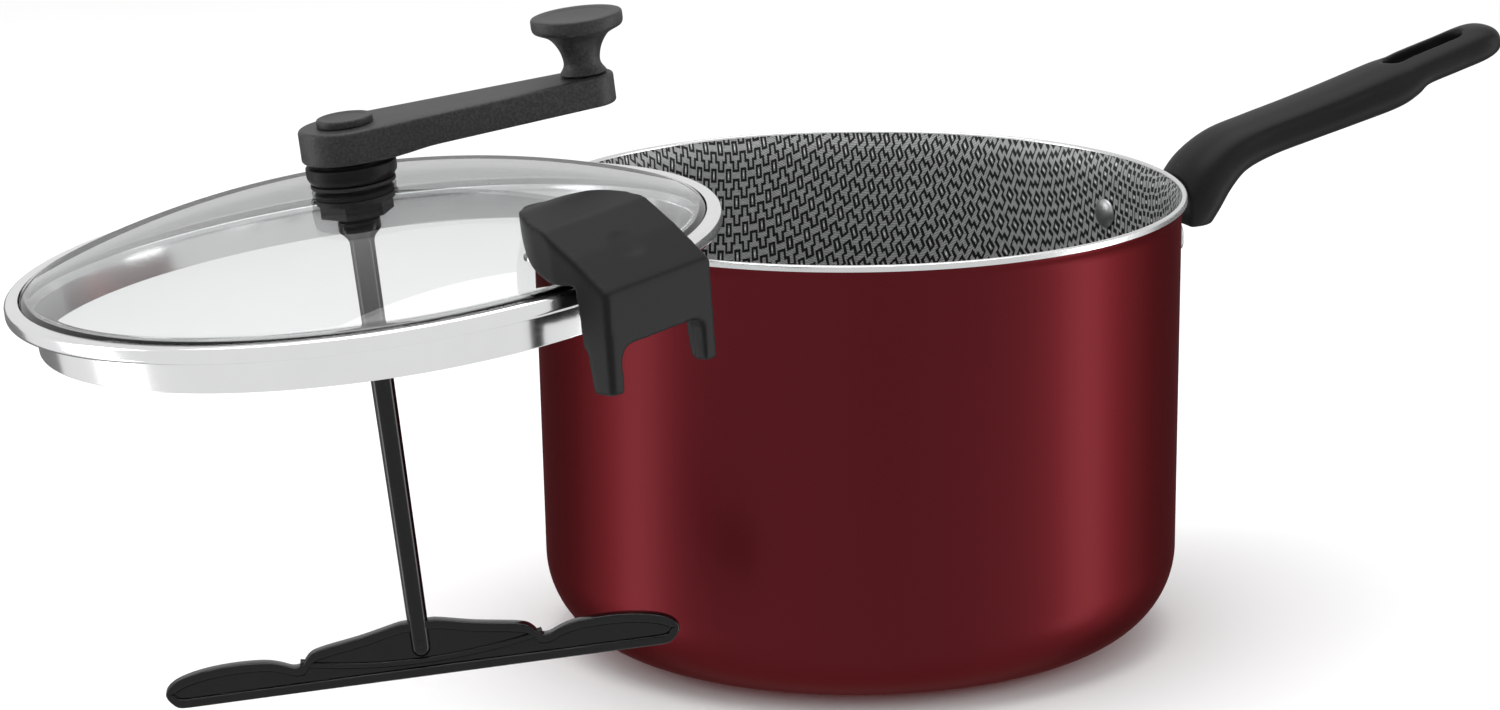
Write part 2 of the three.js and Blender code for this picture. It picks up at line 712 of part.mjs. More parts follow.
function lockPad() {
  const disc = washer(lockScrewRadius + boltPlay, lockBossRadius, 0, domeHeight)
    .translate(lockScrewAt, 0, 0);
  const layer = (offset) => {
    const radii = Array.from({ length: 9 }, (_, i) => (domeFootRadius - 4) * (1 - i / 8));
    return radii.map((r) => [r, domeTop(r) + offset]);
  };
  const band = turned([...layer(seatGap), ...layer(seatGap + padThickness).reverse()].reverse(),
    largeFacets);
  return common(disc, band);
}

function lockWasher() {
  const top = domeUnder(lockScrewAt + lockWasherRadius) - seatGap;
  return washer(lockScrewRadius + boltPlay, lockWasherRadius, top - lockWasherThickness, top)
    .translate(lockScrewAt, 0, 0);
}

function lockScrew() {
  const headTop = domeUnder(lockScrewAt + lockWasherRadius) - 2 * seatGap - lockWasherThickness;
  return screw(lockScrewRadius, lockScrewHeadRadius, lockScrewHeadHeight,
    headTop - lockScrewHeadHeight, lockCrown - 4).translate(lockScrewAt, 0, 0);
}

// ---------------------------------------------------------------- crank and stirrer

function crankArm() {
  const lean = Math.atan2(armRise, armLength);
  const outline = armOutline(armHubRadius, armTipRadius, armLength);
  const bar = slab(outline, armTipThickness, 0.8, 2).translate(0, 0, armTop - armTipThickness)
    .rotateY(-lean).translate(armTop * Math.sin(lean), 0, 0);
  const hub = turned([
    [0, armBottom],
    [armHubRadius - 0.5, armBottom],
    [armHubRadius - 0.1, armBottom + 0.5],
    [armHubRadius - 0.1, armTop - 0.8],
    [armHubRadius - 0.9, armTop],
    [0, armTop],
  ], mediumFacets);
  const socket = rod(rodTopRadius + seatGap, armBottom - 1, rodTop + seatGap);
  const screwHole = rod(crankScrewRadius + boltPlay, armBottom, armTop + toolReach);
  const recess = rod(crankScrewHeadRadius + boltPlay,
    armTop - crankScrewSunk - crankScrewHeadHeight - seatGap, armTop + toolReach);
  const pinHole = rod(knobPinRadius + boltPlay, 0, armTipTop + toolReach).translate(armLength, 0, 0);
  const pinRecess = rod(knobPinHeadRadius + boltPlay, 0, knobPinBottom + knobPinHeadHeight + seatGap)
    .translate(armLength, 0, 0);
  return cut(join(bar, hub), socket, screwHole, recess, pinHole, pinRecess);
}

// Two round ends joined by their common tangents.
function armOutline(big, small, span) {
  const spread = THREE.MathUtils.radToDeg(Math.acos((big - small) / span));
  return [
    ...arc([0, 0], big, spread, 360 - spread, 14),
    ...arc([span, 0], small, -spread, spread, 8),
  ];
}

function crankCap() {
  const bottom = armTop + seatGap;
  const plug = crankScrewHeadRadius - 0.2;
  return turned([
    [0, bottom - capPlugDepth],
    [plug, bottom - capPlugDepth],
    [plug, bottom],
    [capRadius, bottom],
    [capRadius, bottom + capHeight - 0.7],
    [capRadius - 0.7, bottom + capHeight],
    [0, bottom + capHeight],
  ], mediumFacets);
}

function crankScrew() {
  const headTop = armTop - crankScrewSunk;
  return turned([
    [0, headTop - crankScrewHeadHeight - crankScrewLength],
    [crankScrewRadius, headTop - crankScrewHeadHeight - crankScrewLength],
    [crankScrewRadius, headTop - crankScrewHeadHeight],
    [crankScrewHeadRadius, headTop - crankScrewHeadHeight],
    [crankScrewHeadRadius, headTop - 0.6],
    [crankScrewHeadRadius - 0.8, headTop],
    [0, headTop],
  ], smallFacets);
}

function thrustWasher() {
  return washer(rodTopRadius + seatGap, rodTopRadius + thrustWasherRim,
    washerBottom, washerBottom + thrustWasherThickness);
}

function stirrerRod() {
  const collarTop = bushBottom - seatGap;
  const collarBottom = collarTop - rodCollarHeight;
  const outline = [
    [0, -rodDepth],
    [1, -rodDepth + 0.6],
    [rodTipRadius, -rodDepth + rodTipLength],
    [rodTopRadius, collarBottom - rodCollarTaper],
    [rodCollarRadius, collarBottom],
    [rodCollarRadius, collarTop],
    [rodTopRadius, collarTop],
    [rodTopRadius, rodTop],
    [0, rodTop],
  ];
  const screwHole = rod(crankScrewRadius + boltPlay, rodTop - crankScrewLength, rodTop + 1);
  const slotTop = -bladeDepth + bladeWebHeight + seatGap;
  const slot = block([-toolReach, -bladeWeb / 2 - seatGap, -rodDepth - toolReach],
    [toolReach, bladeWeb / 2 + seatGap, slotTop]).rotateZ(radians(bladeTurn));
  return cut(turned(outline, smallFacets), screwHole, slot, bladePinRod(seatGap / 2, toolReach));
}

// The blade's pin, or with a wider radius the hole for it, square to the blade.
function bladePinRod(extraRadius, half) {
  return rod(bladePinRadius + extraRadius, -half, half).rotateX(Math.PI / 2)
    .translate(0, 0, -bladeDepth + bladeWebHeight * bladePinShare).rotateZ(radians(bladeTurn));
}

// Right half of the blade's outline from the foot to the middle of the web: a rounded end, a
// lobe, a notch, then a web that rises to the rod. The inset gives the outline of its panels.
function bladeHalf(inset) {
  const end = bladeLength / 2 - inset;
  const foot = inset;
  const lobe = bladeLobeHeight - inset;
  const web = bladeWebHeight - inset;
  const notch = bladeLobeHeight - bladeNotchDrop - inset;
  return [
    [end - 6, foot],
    ...smooth([[end - 2.6, foot + 0.7], [end, lobe * 0.45], [end - 4.4, lobe * 0.8], [end - 16, lobe],
      [bladeNotchAt + 9, lobe - 0.3], [bladeNotchAt + 0.8, notch]], 14),
    [bladeNotchAt - 1.6, notch + 0.2],
    ...smooth([[bladeNotchAt - 4, lobe], [bladeNotchAt - 8, lobe + 1.5], [17, web - 2.6],
      [7, web - 0.4], [4.4, web]], 8),
  ];
}

function bladeOutline(inset) {
  const half = bladeHalf(inset);
  const points = [...half, ...half.map(([a, b]) => [-a, b]).reverse()];
  return points.map(([a, b]) => [a, b - bladeDepth]);
}

function stirrerBlade() {
  const plate = sideSlab(bladeOutline(0), bladeThickness, 0.5, 1);
  const panel = bladeOutline(bladeBorder);
  const sink = (bladeThickness - bladeWeb) / 2;
  const face = sideSlab(panel, sink + 1);
  const front = face.clone().translate(0, -(bladeWeb + sink + 1) / 2, 0);
  const back = face.clone().translate(0, (bladeWeb + sink + 1) / 2, 0);
  const seatFoot = -bladeDepth + bladeBorder + 2 * seatGap;
  const seatTop = -bladeDepth + bladeWebHeight + 1;
  const rodSeat = block([-rodTipRadius - 1, -toolReach, seatFoot],
    [rodTipRadius + 1, -bladeWeb / 2, seatTop]);
  const rodSeatBack = rodSeat.clone().translate(0, toolReach + bladeWeb / 2, 0);
  const whole = cut(plate, front, back, rodSeat, rodSeatBack).rotateZ(radians(bladeTurn));
  return cut(whole, bladePinRod(seatGap / 2, toolReach));
}

function bladePin() {
  return bladePinRod(-seatGap / 2, rodTipRadius + 0.2);
}

// ---------------------------------------------------------------- knob, about its own pin

const knobPinTop = knobTop - knobDisc;

function knob() {
  const neck = smooth([[knobNeckRadius + 1.6, knobBottom + 0.4], [knobNeckRadius, knobBottom + 3.4],
    [knobNeckRadius + 0.3, knobBottom + 7.6], [knobNeckRadius + 2.7, knobTop - knobDisc - 1.6],
    [knobRadius - 2.4, knobTop - knobDisc]], 7);
  return turned([
    [knobPinRadius + seatGap, knobBottom],
    [knobNeckRadius + 1.4, knobBottom],
    ...neck,
    [knobRadius - 0.3, knobTop - knobDisc + 1],
    [knobRadius, knobTop - knobDisc + 2],
    [knobRadius, knobTop - 0.9],
    [knobRadius - 0.9, knobTop],
    [knobRadius - 3, knobTop - 0.1],
    [0, knobTop - 0.7],
    [0, knobPinTop + seatGap],
    [knobPinRadius + seatGap, knobPinTop + seatGap],
  ], mediumFacets);
}

function knobPin() {
  return screw(knobPinRadius, knobPinHeadRadius, knobPinHeadHeight, knobPinBottom, knobPinTop)
    .translate(armLength, 0, 0);
}

// ---------------------------------------------------------------- assembly

const pan = new THREE.Group();
pan.add(
  piece('pan_body', panBody(), redLacquer),
  piece('handle_bracket', handleBracket(), polishedSteel),
  piece('handle_rivet_left', rivet(1), bareAluminium),
  piece('handle_rivet_right', rivet(-1), bareAluminium),
  piece('handle_grip', handleGrip(), blackPhenolic),
  piece('handle_screw', handleScrew(), polishedSteel),
);

const knobGroup = new THREE.Group();
knobGroup.position.set(armLength, 0, 0);
knobGroup.add(piece('crank_knob', knob(), grainedBlack));

const crank = new THREE.Group();
crank.rotation.z = radians(crankTurn);
crank.add(
  piece('crank_arm', crankArm(), grainedBlack),
  piece('crank_cap', crankCap(), grainedBlack),
  piece('crank_screw', crankScrew(), polishedSteel),
  piece('thrust_washer', thrustWasher(), polishedSteel),
  piece('stirrer_rod', stirrerRod(), glossBlack),
  piece('stirrer_blade', stirrerBlade(), glossBlack),
  piece('blade_pin', bladePin(), polishedSteel),
  piece('knob_pin', knobPin(), polishedSteel),
  knobGroup,
);

const lid = new THREE.Group();
lid.position.set(...displayPosition);
lid.rotation.set(radians(displayLean[0]), radians(displayLean[1]), radians(lockTurn), 'YXZ');
lid.add(
  piece('lid_glass', lidGlass(), clearGlass),
  piece('lid_ring', lidRing(), polishedSteel),
  piece('hub_bush', hubBush(), grainedBlack),
  piece('hub_gasket_upper', upperGasket(), greySilicone),
  piece('hub_gasket_lower', lowerGasket(), greySilicone),
  piece('hub_nut', hubNut(), grainedBlack),
  piece('lock_bracket', lockBracket(), blackPhenolic),
  piece('lock_pad', lockPad(), greySilicone),
  piece('lock_washer', lockWasher(), polishedSteel),
  piece('lock_screw', lockScrew(), polishedSteel),
  crank,
);

const display = new THREE.Group();
display.rotation.z = radians(displayTurn);
display.add(lid);

const saucepan = new THREE.Group();
saucepan.add(pan, display);

export default saucepan;
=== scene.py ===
"""A saucepan with a crank-stirrer glass lid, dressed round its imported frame.

Lengths in the classes below are millimetres, as a maker writes them; every mesh is placed in metres.
Each turned piece is a profile of (radius, height) pairs carried round an axis that the frame's joints give,
and its ends are measured from the CAD node that it stands for.
"""

import json
import logging
import math
from dataclasses import dataclass
from enum import Enum
from typing import Optional, Sequence

import bmesh
import bpy
import numpy as np
from mathutils import Matrix, Vector


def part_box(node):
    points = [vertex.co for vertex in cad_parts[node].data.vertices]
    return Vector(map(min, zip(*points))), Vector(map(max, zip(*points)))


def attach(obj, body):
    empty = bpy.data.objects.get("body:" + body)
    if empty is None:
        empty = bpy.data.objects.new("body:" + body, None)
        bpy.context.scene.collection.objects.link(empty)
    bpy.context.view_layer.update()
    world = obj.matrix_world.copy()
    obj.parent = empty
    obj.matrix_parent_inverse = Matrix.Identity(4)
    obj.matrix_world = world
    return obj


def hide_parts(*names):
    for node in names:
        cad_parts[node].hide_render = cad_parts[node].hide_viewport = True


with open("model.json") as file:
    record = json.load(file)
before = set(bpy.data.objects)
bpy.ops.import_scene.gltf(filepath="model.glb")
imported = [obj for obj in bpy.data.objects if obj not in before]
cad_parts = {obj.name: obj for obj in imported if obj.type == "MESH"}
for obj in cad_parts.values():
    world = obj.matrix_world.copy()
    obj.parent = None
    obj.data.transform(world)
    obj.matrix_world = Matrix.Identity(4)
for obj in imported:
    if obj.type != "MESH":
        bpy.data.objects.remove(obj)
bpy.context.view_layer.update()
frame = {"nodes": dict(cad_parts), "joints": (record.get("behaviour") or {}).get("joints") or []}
log = logging.getLogger("saucepan")

MM = 0.001
FULL_TURN = 2 * math.pi
FINE_SEGMENTS = 192
SMALL_SEGMENTS = 72
LARGE_SEGMENTS = 2 * FINE_SEGMENTS

# Millimetres of the pan's flat disc in one unit of the print's coordinates.
PRINT_UNIT = 100.0
# A profile point nearer the axis than this is on it.
POLE_RADIUS = 1e-9
# The most of a side that one corner's rounding takes.
SIDE_SHARE = 0.48
# Vertices of a CAD node nearer than this, in metres, are one.
JOIN_DISTANCE = 0.00001
# Degrees between two faces of a CAD node: less is flat, more is a corner, and more still is rounded.
FLAT_ANGLE = 1.5
COPY_SHARP_ANGLE = 32.0
ROUNDED_ANGLE = 34.0


# ---------------------------------------------------------------- outlines


def filleted(points: Sequence[tuple], radius: float, steps: int = 5, closed: bool = False) -> np.ndarray:
    """Rounds the corners of an outline. Each corner becomes a parabola between two points on its sides.

    Args:
        points: Corners as (radius, height) pairs; an optional third value is that corner's own rounding.
        radius: Rounding used where a corner has none of its own.
        steps: Points on each rounded corner, less one.
        closed: Whether the outline closes on itself, so that its ends are corners too.

    Returns:
        The outline as an array of pairs.
    """
    corners = [np.array(p[:2], float) for p in points]
    sizes = [p[2] if len(p) > 2 else radius for p in points]
    count = len(corners)
    out = []
    for i, (corner, size) in enumerate(zip(corners, sizes)):
        if size <= 0 or (not closed and i in (0, count - 1)):
            out.append(corner[None])
            continue
        before, after = corners[i - 1] - corner, corners[(i + 1) % count] - corner
        reach = min(size, SIDE_SHARE * np.linalg.norm(before), SIDE_SHARE * np.linalg.norm(after))
        start = corner + before / np.linalg.norm(before) * reach
        end = corner + after / np.linalg.norm(after) * reach
        s = np.linspace(0, 1, steps + 1)[:, None]
        out.append((1 - s) ** 2 * start + 2 * s * (1 - s) * corner + s ** 2 * end)
    return np.concatenate(out)


def arc(centre: tuple, radius: float, start: float, end: float, steps: int) -> np.ndarray:
    """Points on an arc of the radius about the centre, from the start angle to the end angle in degrees."""
    angle = np.radians(np.linspace(start, end, steps + 1))
    return np.stack([centre[0] + radius * np.cos(angle), centre[1] + radius * np.sin(angle)], 1)


def spline(points: Sequence[Sequence[float]], at: np.ndarray) -> np.ndarray:
    """A Catmull-Rom curve: each span is the cubic with its ends' slopes set by their neighbours.

    Args:
        points: The points that the curve passes through.
        at: Places along the curve, from 0 to 1.

    Returns:
        One row for each place.
    """
    p = np.array(points, float)
    place = np.clip(at, 0, 1) * (len(p) - 1)
    i = np.minimum(place.astype(int), len(p) - 2)
    t = (place - i)[:, None]
    p0, p1, p2, p3 = p[np.maximum(i - 1, 0)], p[i], p[i + 1], p[np.minimum(i + 2, len(p) - 1)]
    v0, v1 = (p2 - p0) / 2, (p3 - p1) / 2
    return (2 * p1 - 2 * p2 + v0 + v1) * t ** 3 + (3 * p2 - 3 * p1 - 2 * v0 - v1) * t ** 2 + v0 * t + p1


# ---------------------------------------------------------------- surfaces


@dataclass(frozen=True)
class Axis:
    """A straight axis in the row frame, with the direction that counts as ahead."""

    origin: np.ndarray
    along: np.ndarray
    ahead: np.ndarray

    @classmethod
    def make(cls, origin: Sequence[float], along: Sequence[float], ahead: Sequence[float]) -> "Axis":
        """Builds an axis from metres and two directions; ahead is squared to along."""
        up = np.array(along, float) / np.linalg.norm(along)
        forward = np.array(ahead, float)
        forward = forward - up * (forward @ up)
        return cls(np.array(origin, float), up, forward / np.linalg.norm(forward))

    def turned(self, degrees: float) -> "Axis":
        """The same axis with its ahead direction turned about it."""
        side = np.cross(self.along, self.ahead)
        angle = math.radians(degrees)
        return Axis(self.origin, self.along, self.ahead * math.cos(angle) + side * math.sin(angle))

    def place(self, points: np.ndarray) -> np.ndarray:
        """Turns (ahead, side, along) millimetres into row-frame metres."""
        basis = np.stack([self.ahead, np.cross(self.along, self.ahead), self.along])
        return self.origin + points * MM @ basis

    def local(self, node: str) -> np.ndarray:
        """A CAD node's vertices as (ahead, side, along) millimetres."""
        mesh = frame["nodes"][node].data
        flat = np.empty(len(mesh.vertices) * 3)
        mesh.vertices.foreach_get("co", flat)
        basis = np.stack([self.ahead, np.cross(self.along, self.ahead), self.along])
        return (flat.reshape(-1, 3) - self.origin) @ basis.T / MM

    def span(self, node: str) -> tuple:
        """A CAD node's lowest and highest place along the axis and its largest radius, in millimetres."""
        p = self.local(node)
        return p[:, 2].min(), p[:, 2].max(), np.hypot(p[:, 0], p[:, 1]).max()


@dataclass
class Surface:
    """Vertices in an axis's millimetres and the faces between them.

    Attributes:
        points: One row for each vertex.
        faces: Lists of vertex numbers, wound so that they face outwards.
        uv: One flat pattern coordinate pair for each vertex, or None.
        zones: One material number for each face, or None for a single material.
    """

    points: np.ndarray
    faces: list
    uv: Optional[np.ndarray] = None
    zones: Optional[np.ndarray] = None


def grid_faces(rows: int, columns: int) -> np.ndarray:
    """Quads of a grid whose columns close on themselves. Vertex (i, j) is number i * columns + j."""
    i, j = np.meshgrid(np.arange(rows - 1), np.arange(columns), indexing="ij")
    after = (j + 1) % columns
    return np.stack([i * columns + j, i * columns + after, (i + 1) * columns + after, (i + 1) * columns + j],
                    -1).reshape(-1, 4)


def revolve(profile: np.ndarray, segments: int, closed: bool = False,
            unrolled: Optional[np.ndarray] = None, zones: Optional[np.ndarray] = None) -> Surface:
    """Carries a profile round the axis.

    A vertex is (r cos a, r sin a, z) for each profile point (r, z) and each angle a. A point with r = 0 is
    one pole vertex. Flat pattern coordinates are (u cos a, u sin a) for an unrolled radius u.

    Args:
        profile: (radius, height) rows, running up the outer side and down the inner one.
        segments: Steps round the axis.
        closed: Whether the profile joins its own start, as on a ring.
        unrolled: The radius that each profile point has when its skin is laid flat.
        zones: A material number for each span of the profile.

    Returns:
        The closed surface.
    """
    rows = np.vstack([profile, profile[:1]]) if closed else profile
    angle = np.arange(segments) * FULL_TURN / segments
    r, z = profile[:, :1], profile[:, 1:]
    height = np.broadcast_to(z, (len(profile), segments))
    points = np.stack([r * np.cos(angle), r * np.sin(angle), height], -1)
    faces = grid_faces(len(rows), segments) % (len(profile) * segments)
    pole = np.repeat(profile[:, 0] < POLE_RADIUS, segments)
    number = np.arange(len(pole))
    number[pole] = number[pole] // segments * segments
    quads = number[faces]
    span = np.repeat(np.arange(len(rows) - 1), segments)
    low_pole, high_pole = quads[:, 0] == quads[:, 1], quads[:, 2] == quads[:, 3]
    kept = ~(low_pole & high_pole)
    used = np.unique(quads)
    renumber = np.zeros(len(pole), int)
    renumber[used] = np.arange(len(used))
    quads = renumber[quads]
    trimmed = np.where(low_pole[:, None], quads[:, [0, 2, 3, 3]], quads)
    short = (low_pole | high_pole)[kept]
    faces_out = [list(q[:3]) if s else list(q) for q, s in zip(trimmed[kept].tolist(), short.tolist())]
    flat = None
    if unrolled is not None:
        flat = np.stack([unrolled[:, None] * np.cos(angle), unrolled[:, None] * np.sin(angle)], -1)
        flat = flat.reshape(-1, 2)[used]
    marks = None if zones is None else np.asarray(zones)[span][kept]
    return Surface(points.reshape(-1, 3)[used], faces_out, flat, marks)


def loft(rings: np.ndarray) -> Surface:
    """Joins closed rings into one skin and closes both ends, each with a fan to its middle.

    Args:
        rings: An array of (ring, point, xyz); neighbouring rings join point to point.

    Returns:
        The closed surface.
    """
    count, around = rings.shape[:2]
    first, last = rings[0].mean(0), rings[-1].mean(0)
    points = np.vstack([rings.reshape(-1, 3), first, last])
    j = np.arange(around)
    after = (j + 1) % around
    base = (count - 1) * around
    start_fan = np.stack([after, j, np.full(around, count * around)], 1)
    end_fan = np.stack([base + j, base + after, np.full(around, count * around + 1)], 1)
    return Surface(points, grid_faces(count, around).tolist() + start_fan.tolist() + end_fan.tolist())


def build(name: str, surface: Surface, axis: Axis, materials: Sequence[bpy.types.Material],
          sharp_angle: float = 38.0) -> bpy.types.Object:
    """Puts a surface into a new object at the origin, with its place in its mesh.

    Args:
        name: The piece's name.
        surface: What to build.
        axis: The axis that its millimetres are measured from.
        materials: One for each zone.
        sharp_angle: Edges that turn further than this, in degrees, are shaded as corners.

    Returns:
        The new object.
    """
    mesh = bpy.data.meshes.new(name)
    mesh.from_pydata(axis.place(surface.points).tolist(), [], surface.faces)
    if surface.uv is not None:
        layer = mesh.uv_layers.new(name="flat_print")
        corner = np.empty(len(mesh.loops), int)
        mesh.loops.foreach_get("vertex_index", corner)
        layer.uv.foreach_set("vector", surface.uv[corner].astype(np.float32).ravel())
    for material in materials:
        mesh.materials.append(material)
    if surface.zones is not None:
        mesh.polygons.foreach_set("material_index", surface.zones.astype(np.int32))
    return finished(name, mesh, sharp_angle)


def finished(name: str, mesh: bpy.types.Mesh, sharp_angle: float) -> bpy.types.Object:
    """Shades a mesh smooth between its corners and links it as an object."""
    mesh.polygons.foreach_set("use_smooth", np.ones(len(mesh.polygons), bool))
    mesh.update()
    mesh.set_sharp_from_angle(angle=math.radians(sharp_angle))
    return linked(name, mesh)


def linked(name: str, data: bpy.types.ID) -> bpy.types.Object:
    """Makes an object of a mesh, light or camera and links it to the scene."""
    made = bpy.data.objects.new(name, data)
    bpy.context.scene.collection.objects.link(made)
    return made


def applied(piece: bpy.types.Object) -> bpy.types.Mesh:
    """Puts what a piece's modifiers make of it in the place of its mesh, clears them and returns the mesh."""
    mesh = bpy.data.meshes.new_from_object(piece.evaluated_get(bpy.context.evaluated_depsgraph_get()))
    piece.modifiers.clear()
    piece.data = mesh
    return mesh


def mount(piece: bpy.types.Object, body: str, slot: str, *nodes: str) -> None:
    """Makes a piece ride on a body and stand for its CAD nodes, and reports it."""
    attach(piece, body)
    if nodes:
        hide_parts(*nodes)
    log.info("%s: %d faces on %s", piece.name, len(piece.data.polygons), body)


@dataclass(frozen=True)
class Place:
    """Where a piece belongs: its body, its slot and the CAD node that it stands for."""

    body: str
    slot: str
    node: str


def turned_piece(name: str, profile: np.ndarray, axis: Axis, material: bpy.types.Material, place: Place,
                 segments: int = FINE_SEGMENTS, closed: bool = True,
                 sharp_angle: float = 38.0) -> bpy.types.Object:
    """Revolves a profile in one finish and mounts it in its CAD node's place.

    Args:
        name: The piece's name.
        profile: (radius, height) rows.
        axis: The axis that it is turned about.
        material: Its finish.
        place: Its body, slot and node.
        segments: Steps round the axis.
        closed: Whether the profile joins its own start.
        sharp_angle: Edges that turn further than this, in degrees, are shaded as corners.

    Returns:
        The new object.
    """
    piece = build(name, revolve(profile, segments, closed), axis, [material], sharp_angle)
    mount(piece, place.body, place.slot, place.node)
    return piece


def clean_copy(node: str, name: str, material: bpy.types.Material) -> bpy.types.Object:
    """Copies a CAD node in one finish, with its doubled vertices and flat faces joined."""
    mesh = frame["nodes"][node].data.copy()
    mesh.name = name
    work = bmesh.new()
    work.from_mesh(mesh)
    bmesh.ops.remove_doubles(work, verts=work.verts, dist=JOIN_DISTANCE)
    bmesh.ops.dissolve_limit(work, angle_limit=math.radians(FLAT_ANGLE), verts=work.verts, edges=work.edges)
    work.to_mesh(mesh)
    work.free()
    mesh.materials.clear()
    mesh.materials.append(material)
    return finished(name, mesh, COPY_SHARP_ANGLE)


def softened_copy(node: str, name: str, material: bpy.types.Material, width: float,
                  segments: int = 3) -> bpy.types.Object:
    """Copies a CAD node and rounds its edges.

    Args:
        node: The CAD node.
        name: The new piece's name.
        material: Its finish.
        width: The rounding of its edges.
        segments: Steps across each rounded edge.

    Returns:
        The new object.
    """
    piece = clean_copy(node, name, material)
    rounding = piece.modifiers.new("rounded_edges", "BEVEL")
    rounding.width = width * MM
    rounding.segments = segments
    rounding.limit_method = "ANGLE"
    rounding.angle_limit = math.radians(ROUNDED_ANGLE)
    rounding.harden_normals = True
    rounding.use_clamp_overlap = True
    return piece


def ease_edges(piece: bpy.types.Object, material: bpy.types.Material, cell: float, rounds: int) -> None:
    """Gives a piece an even skin of small faces and draws every edge in, as a moulding has them.

    Args:
        piece: The piece.
        material: Its finish.
        cell: Size of the skin's faces.
        rounds: How many times each vertex is drawn towards the middle of its neighbours.
    """
    even = piece.modifiers.new("even_skin", "REMESH")
    even.mode = "VOXEL"
    even.voxel_size = cell * MM
    ease = piece.modifiers.new("eased", "SMOOTH")
    ease.factor = 0.5
    ease.iterations = rounds
    mesh = applied(piece)
    mesh.name = piece.name
    mesh.materials.clear()
    mesh.materials.append(material)
    mesh.polygons.foreach_set("material_index", np.zeros(len(mesh.polygons), np.int32))
    mesh.polygons.foreach_set("use_smooth", np.ones(len(mesh.polygons), bool))


# ---------------------------------------------------------------- node graphs


class Field:
    """A number that varies over a surface. Arithmetic on it adds math nodes to its graph."""

    def __init__(self, graph: "Graph", socket: bpy.types.NodeSocket) -> None:
        """Keeps the graph and the socket that gives the number."""
        self.graph = graph
        self.socket = socket

    def math(self, operation: str, other: object = 0.0) -> "Field":
        """The result of one math node on this number and, where the operation has two, another."""
        node = self.graph.node("ShaderNodeMath")
        node.operation = operation
        for slot, value in zip(node.inputs, (self, other)):
            if isinstance(value, Field):
                self.graph.link(value.socket, slot)
            else:
                slot.default_value = value
        return Field(self.graph, node.outputs[0])

    def __add__(self, other: object) -> "Field":
        """The sum."""
        return self.math("ADD", other)

    def __sub__(self, other: object) -> "Field":
        """The difference."""
        return self.math("SUBTRACT", other)

    def __mul__(self, other: object) -> "Field":
        """The product."""
        return self.math("MULTIPLY", other)

    def size(self) -> "Field":
        """The number without its sign."""
        return self.math("ABSOLUTE")

    def below(self, limit: object) -> "Field":
        """One where the number is under the limit, else nought."""
        return self.math("LESS_THAN", limit)

    def above(self, limit: object) -> "Field":
        """One where the number is over the limit, else nought."""
        return self.math("GREATER_THAN", limit)

    def larger(self, other: object) -> "Field":
        """The larger of two numbers."""
        return self.math("MAXIMUM", other)


class Graph:
    """A material's node tree, with short ways to add to it."""

    def __init__(self, name: str) -> None:
        """Starts a material with one principled shader."""
        self.material = bpy.data.materials.new(name)
        self.material.use_nodes = True
        self.tree = self.material.node_tree
        self.shader = self.tree.nodes["Principled BSDF"]

    def node(self, kind: str) -> bpy.types.Node:
        """Adds a node."""
        return self.tree.nodes.new(kind)

    def link(self, source: bpy.types.NodeSocket, target: bpy.types.NodeSocket) -> None:
        """Joins two sockets."""
        self.tree.links.new(source, target)

    def set(self, **values: object) -> None:
        """Sets the shader's own sockets; underscores stand for the spaces in their names."""
        for name, value in values.items():
            self.shader.inputs[name.replace("_", " ")].default_value = value

    def place(self) -> bpy.types.NodeSocket:
        """Object coordinates, in metres."""
        return self.node("ShaderNodeTexCoord").outputs["Object"]

    def noise(self, scale: float, detail: float = 3.0, stretch: Sequence[float] = (1, 1, 1),
              source: Optional[bpy.types.NodeSocket] = None) -> Field:
        """Cloudy variation, scale per metre, drawn out along any axis whose stretch is under one."""
        mapping = self.node("ShaderNodeMapping")
        mapping.inputs["Scale"].default_value = stretch
        self.link(source or self.place(), mapping.inputs["Vector"])
        texture = self.node("ShaderNodeTexNoise")
        texture.inputs["Scale"].default_value = scale
        texture.inputs["Detail"].default_value = detail
        self.link(mapping.outputs[0], texture.inputs["Vector"])
        return Field(self, texture.outputs[0])

    def between(self, amount: Field, low: object, high: Sequence[float]) -> bpy.types.NodeSocket:
        """A colour between two, by amount. The low one is a colour or a socket that gives one."""
        mix = self.node("ShaderNodeMix")
        mix.data_type = "RGBA"
        self.link(amount.socket, mix.inputs["Factor"])
        if isinstance(low, bpy.types.NodeSocket):
            self.link(low, mix.inputs["A"])
        else:
            mix.inputs["A"].default_value = (*low, 1)
        mix.inputs["B"].default_value = (*high, 1)
        return mix.outputs["Result"]

    def span(self, amount: Field, low: float, high: float, start: float = 0.0, end: float = 1.0) -> Field:
        """Maps a number from one range to another, held at both ends."""
        node = self.node("ShaderNodeMapRange")
        for name, value in (("From Min", start), ("From Max", end), ("To Min", low), ("To Max", high)):
            node.inputs[name].default_value = value
        self.link(amount.socket, node.inputs["Value"])
        return Field(self, node.outputs[0])

    def bump(self, height: Field, depth: float, strength: float = 1.0) -> None:
        """Raises the surface by height times a depth in metres."""
        node = self.node("ShaderNodeBump")
        node.inputs["Strength"].default_value = strength
        node.inputs["Distance"].default_value = depth
        self.link(height.socket, node.inputs["Height"])
        self.link(node.outputs[0], self.shader.inputs["Normal"])


# ---------------------------------------------------------------- finishes


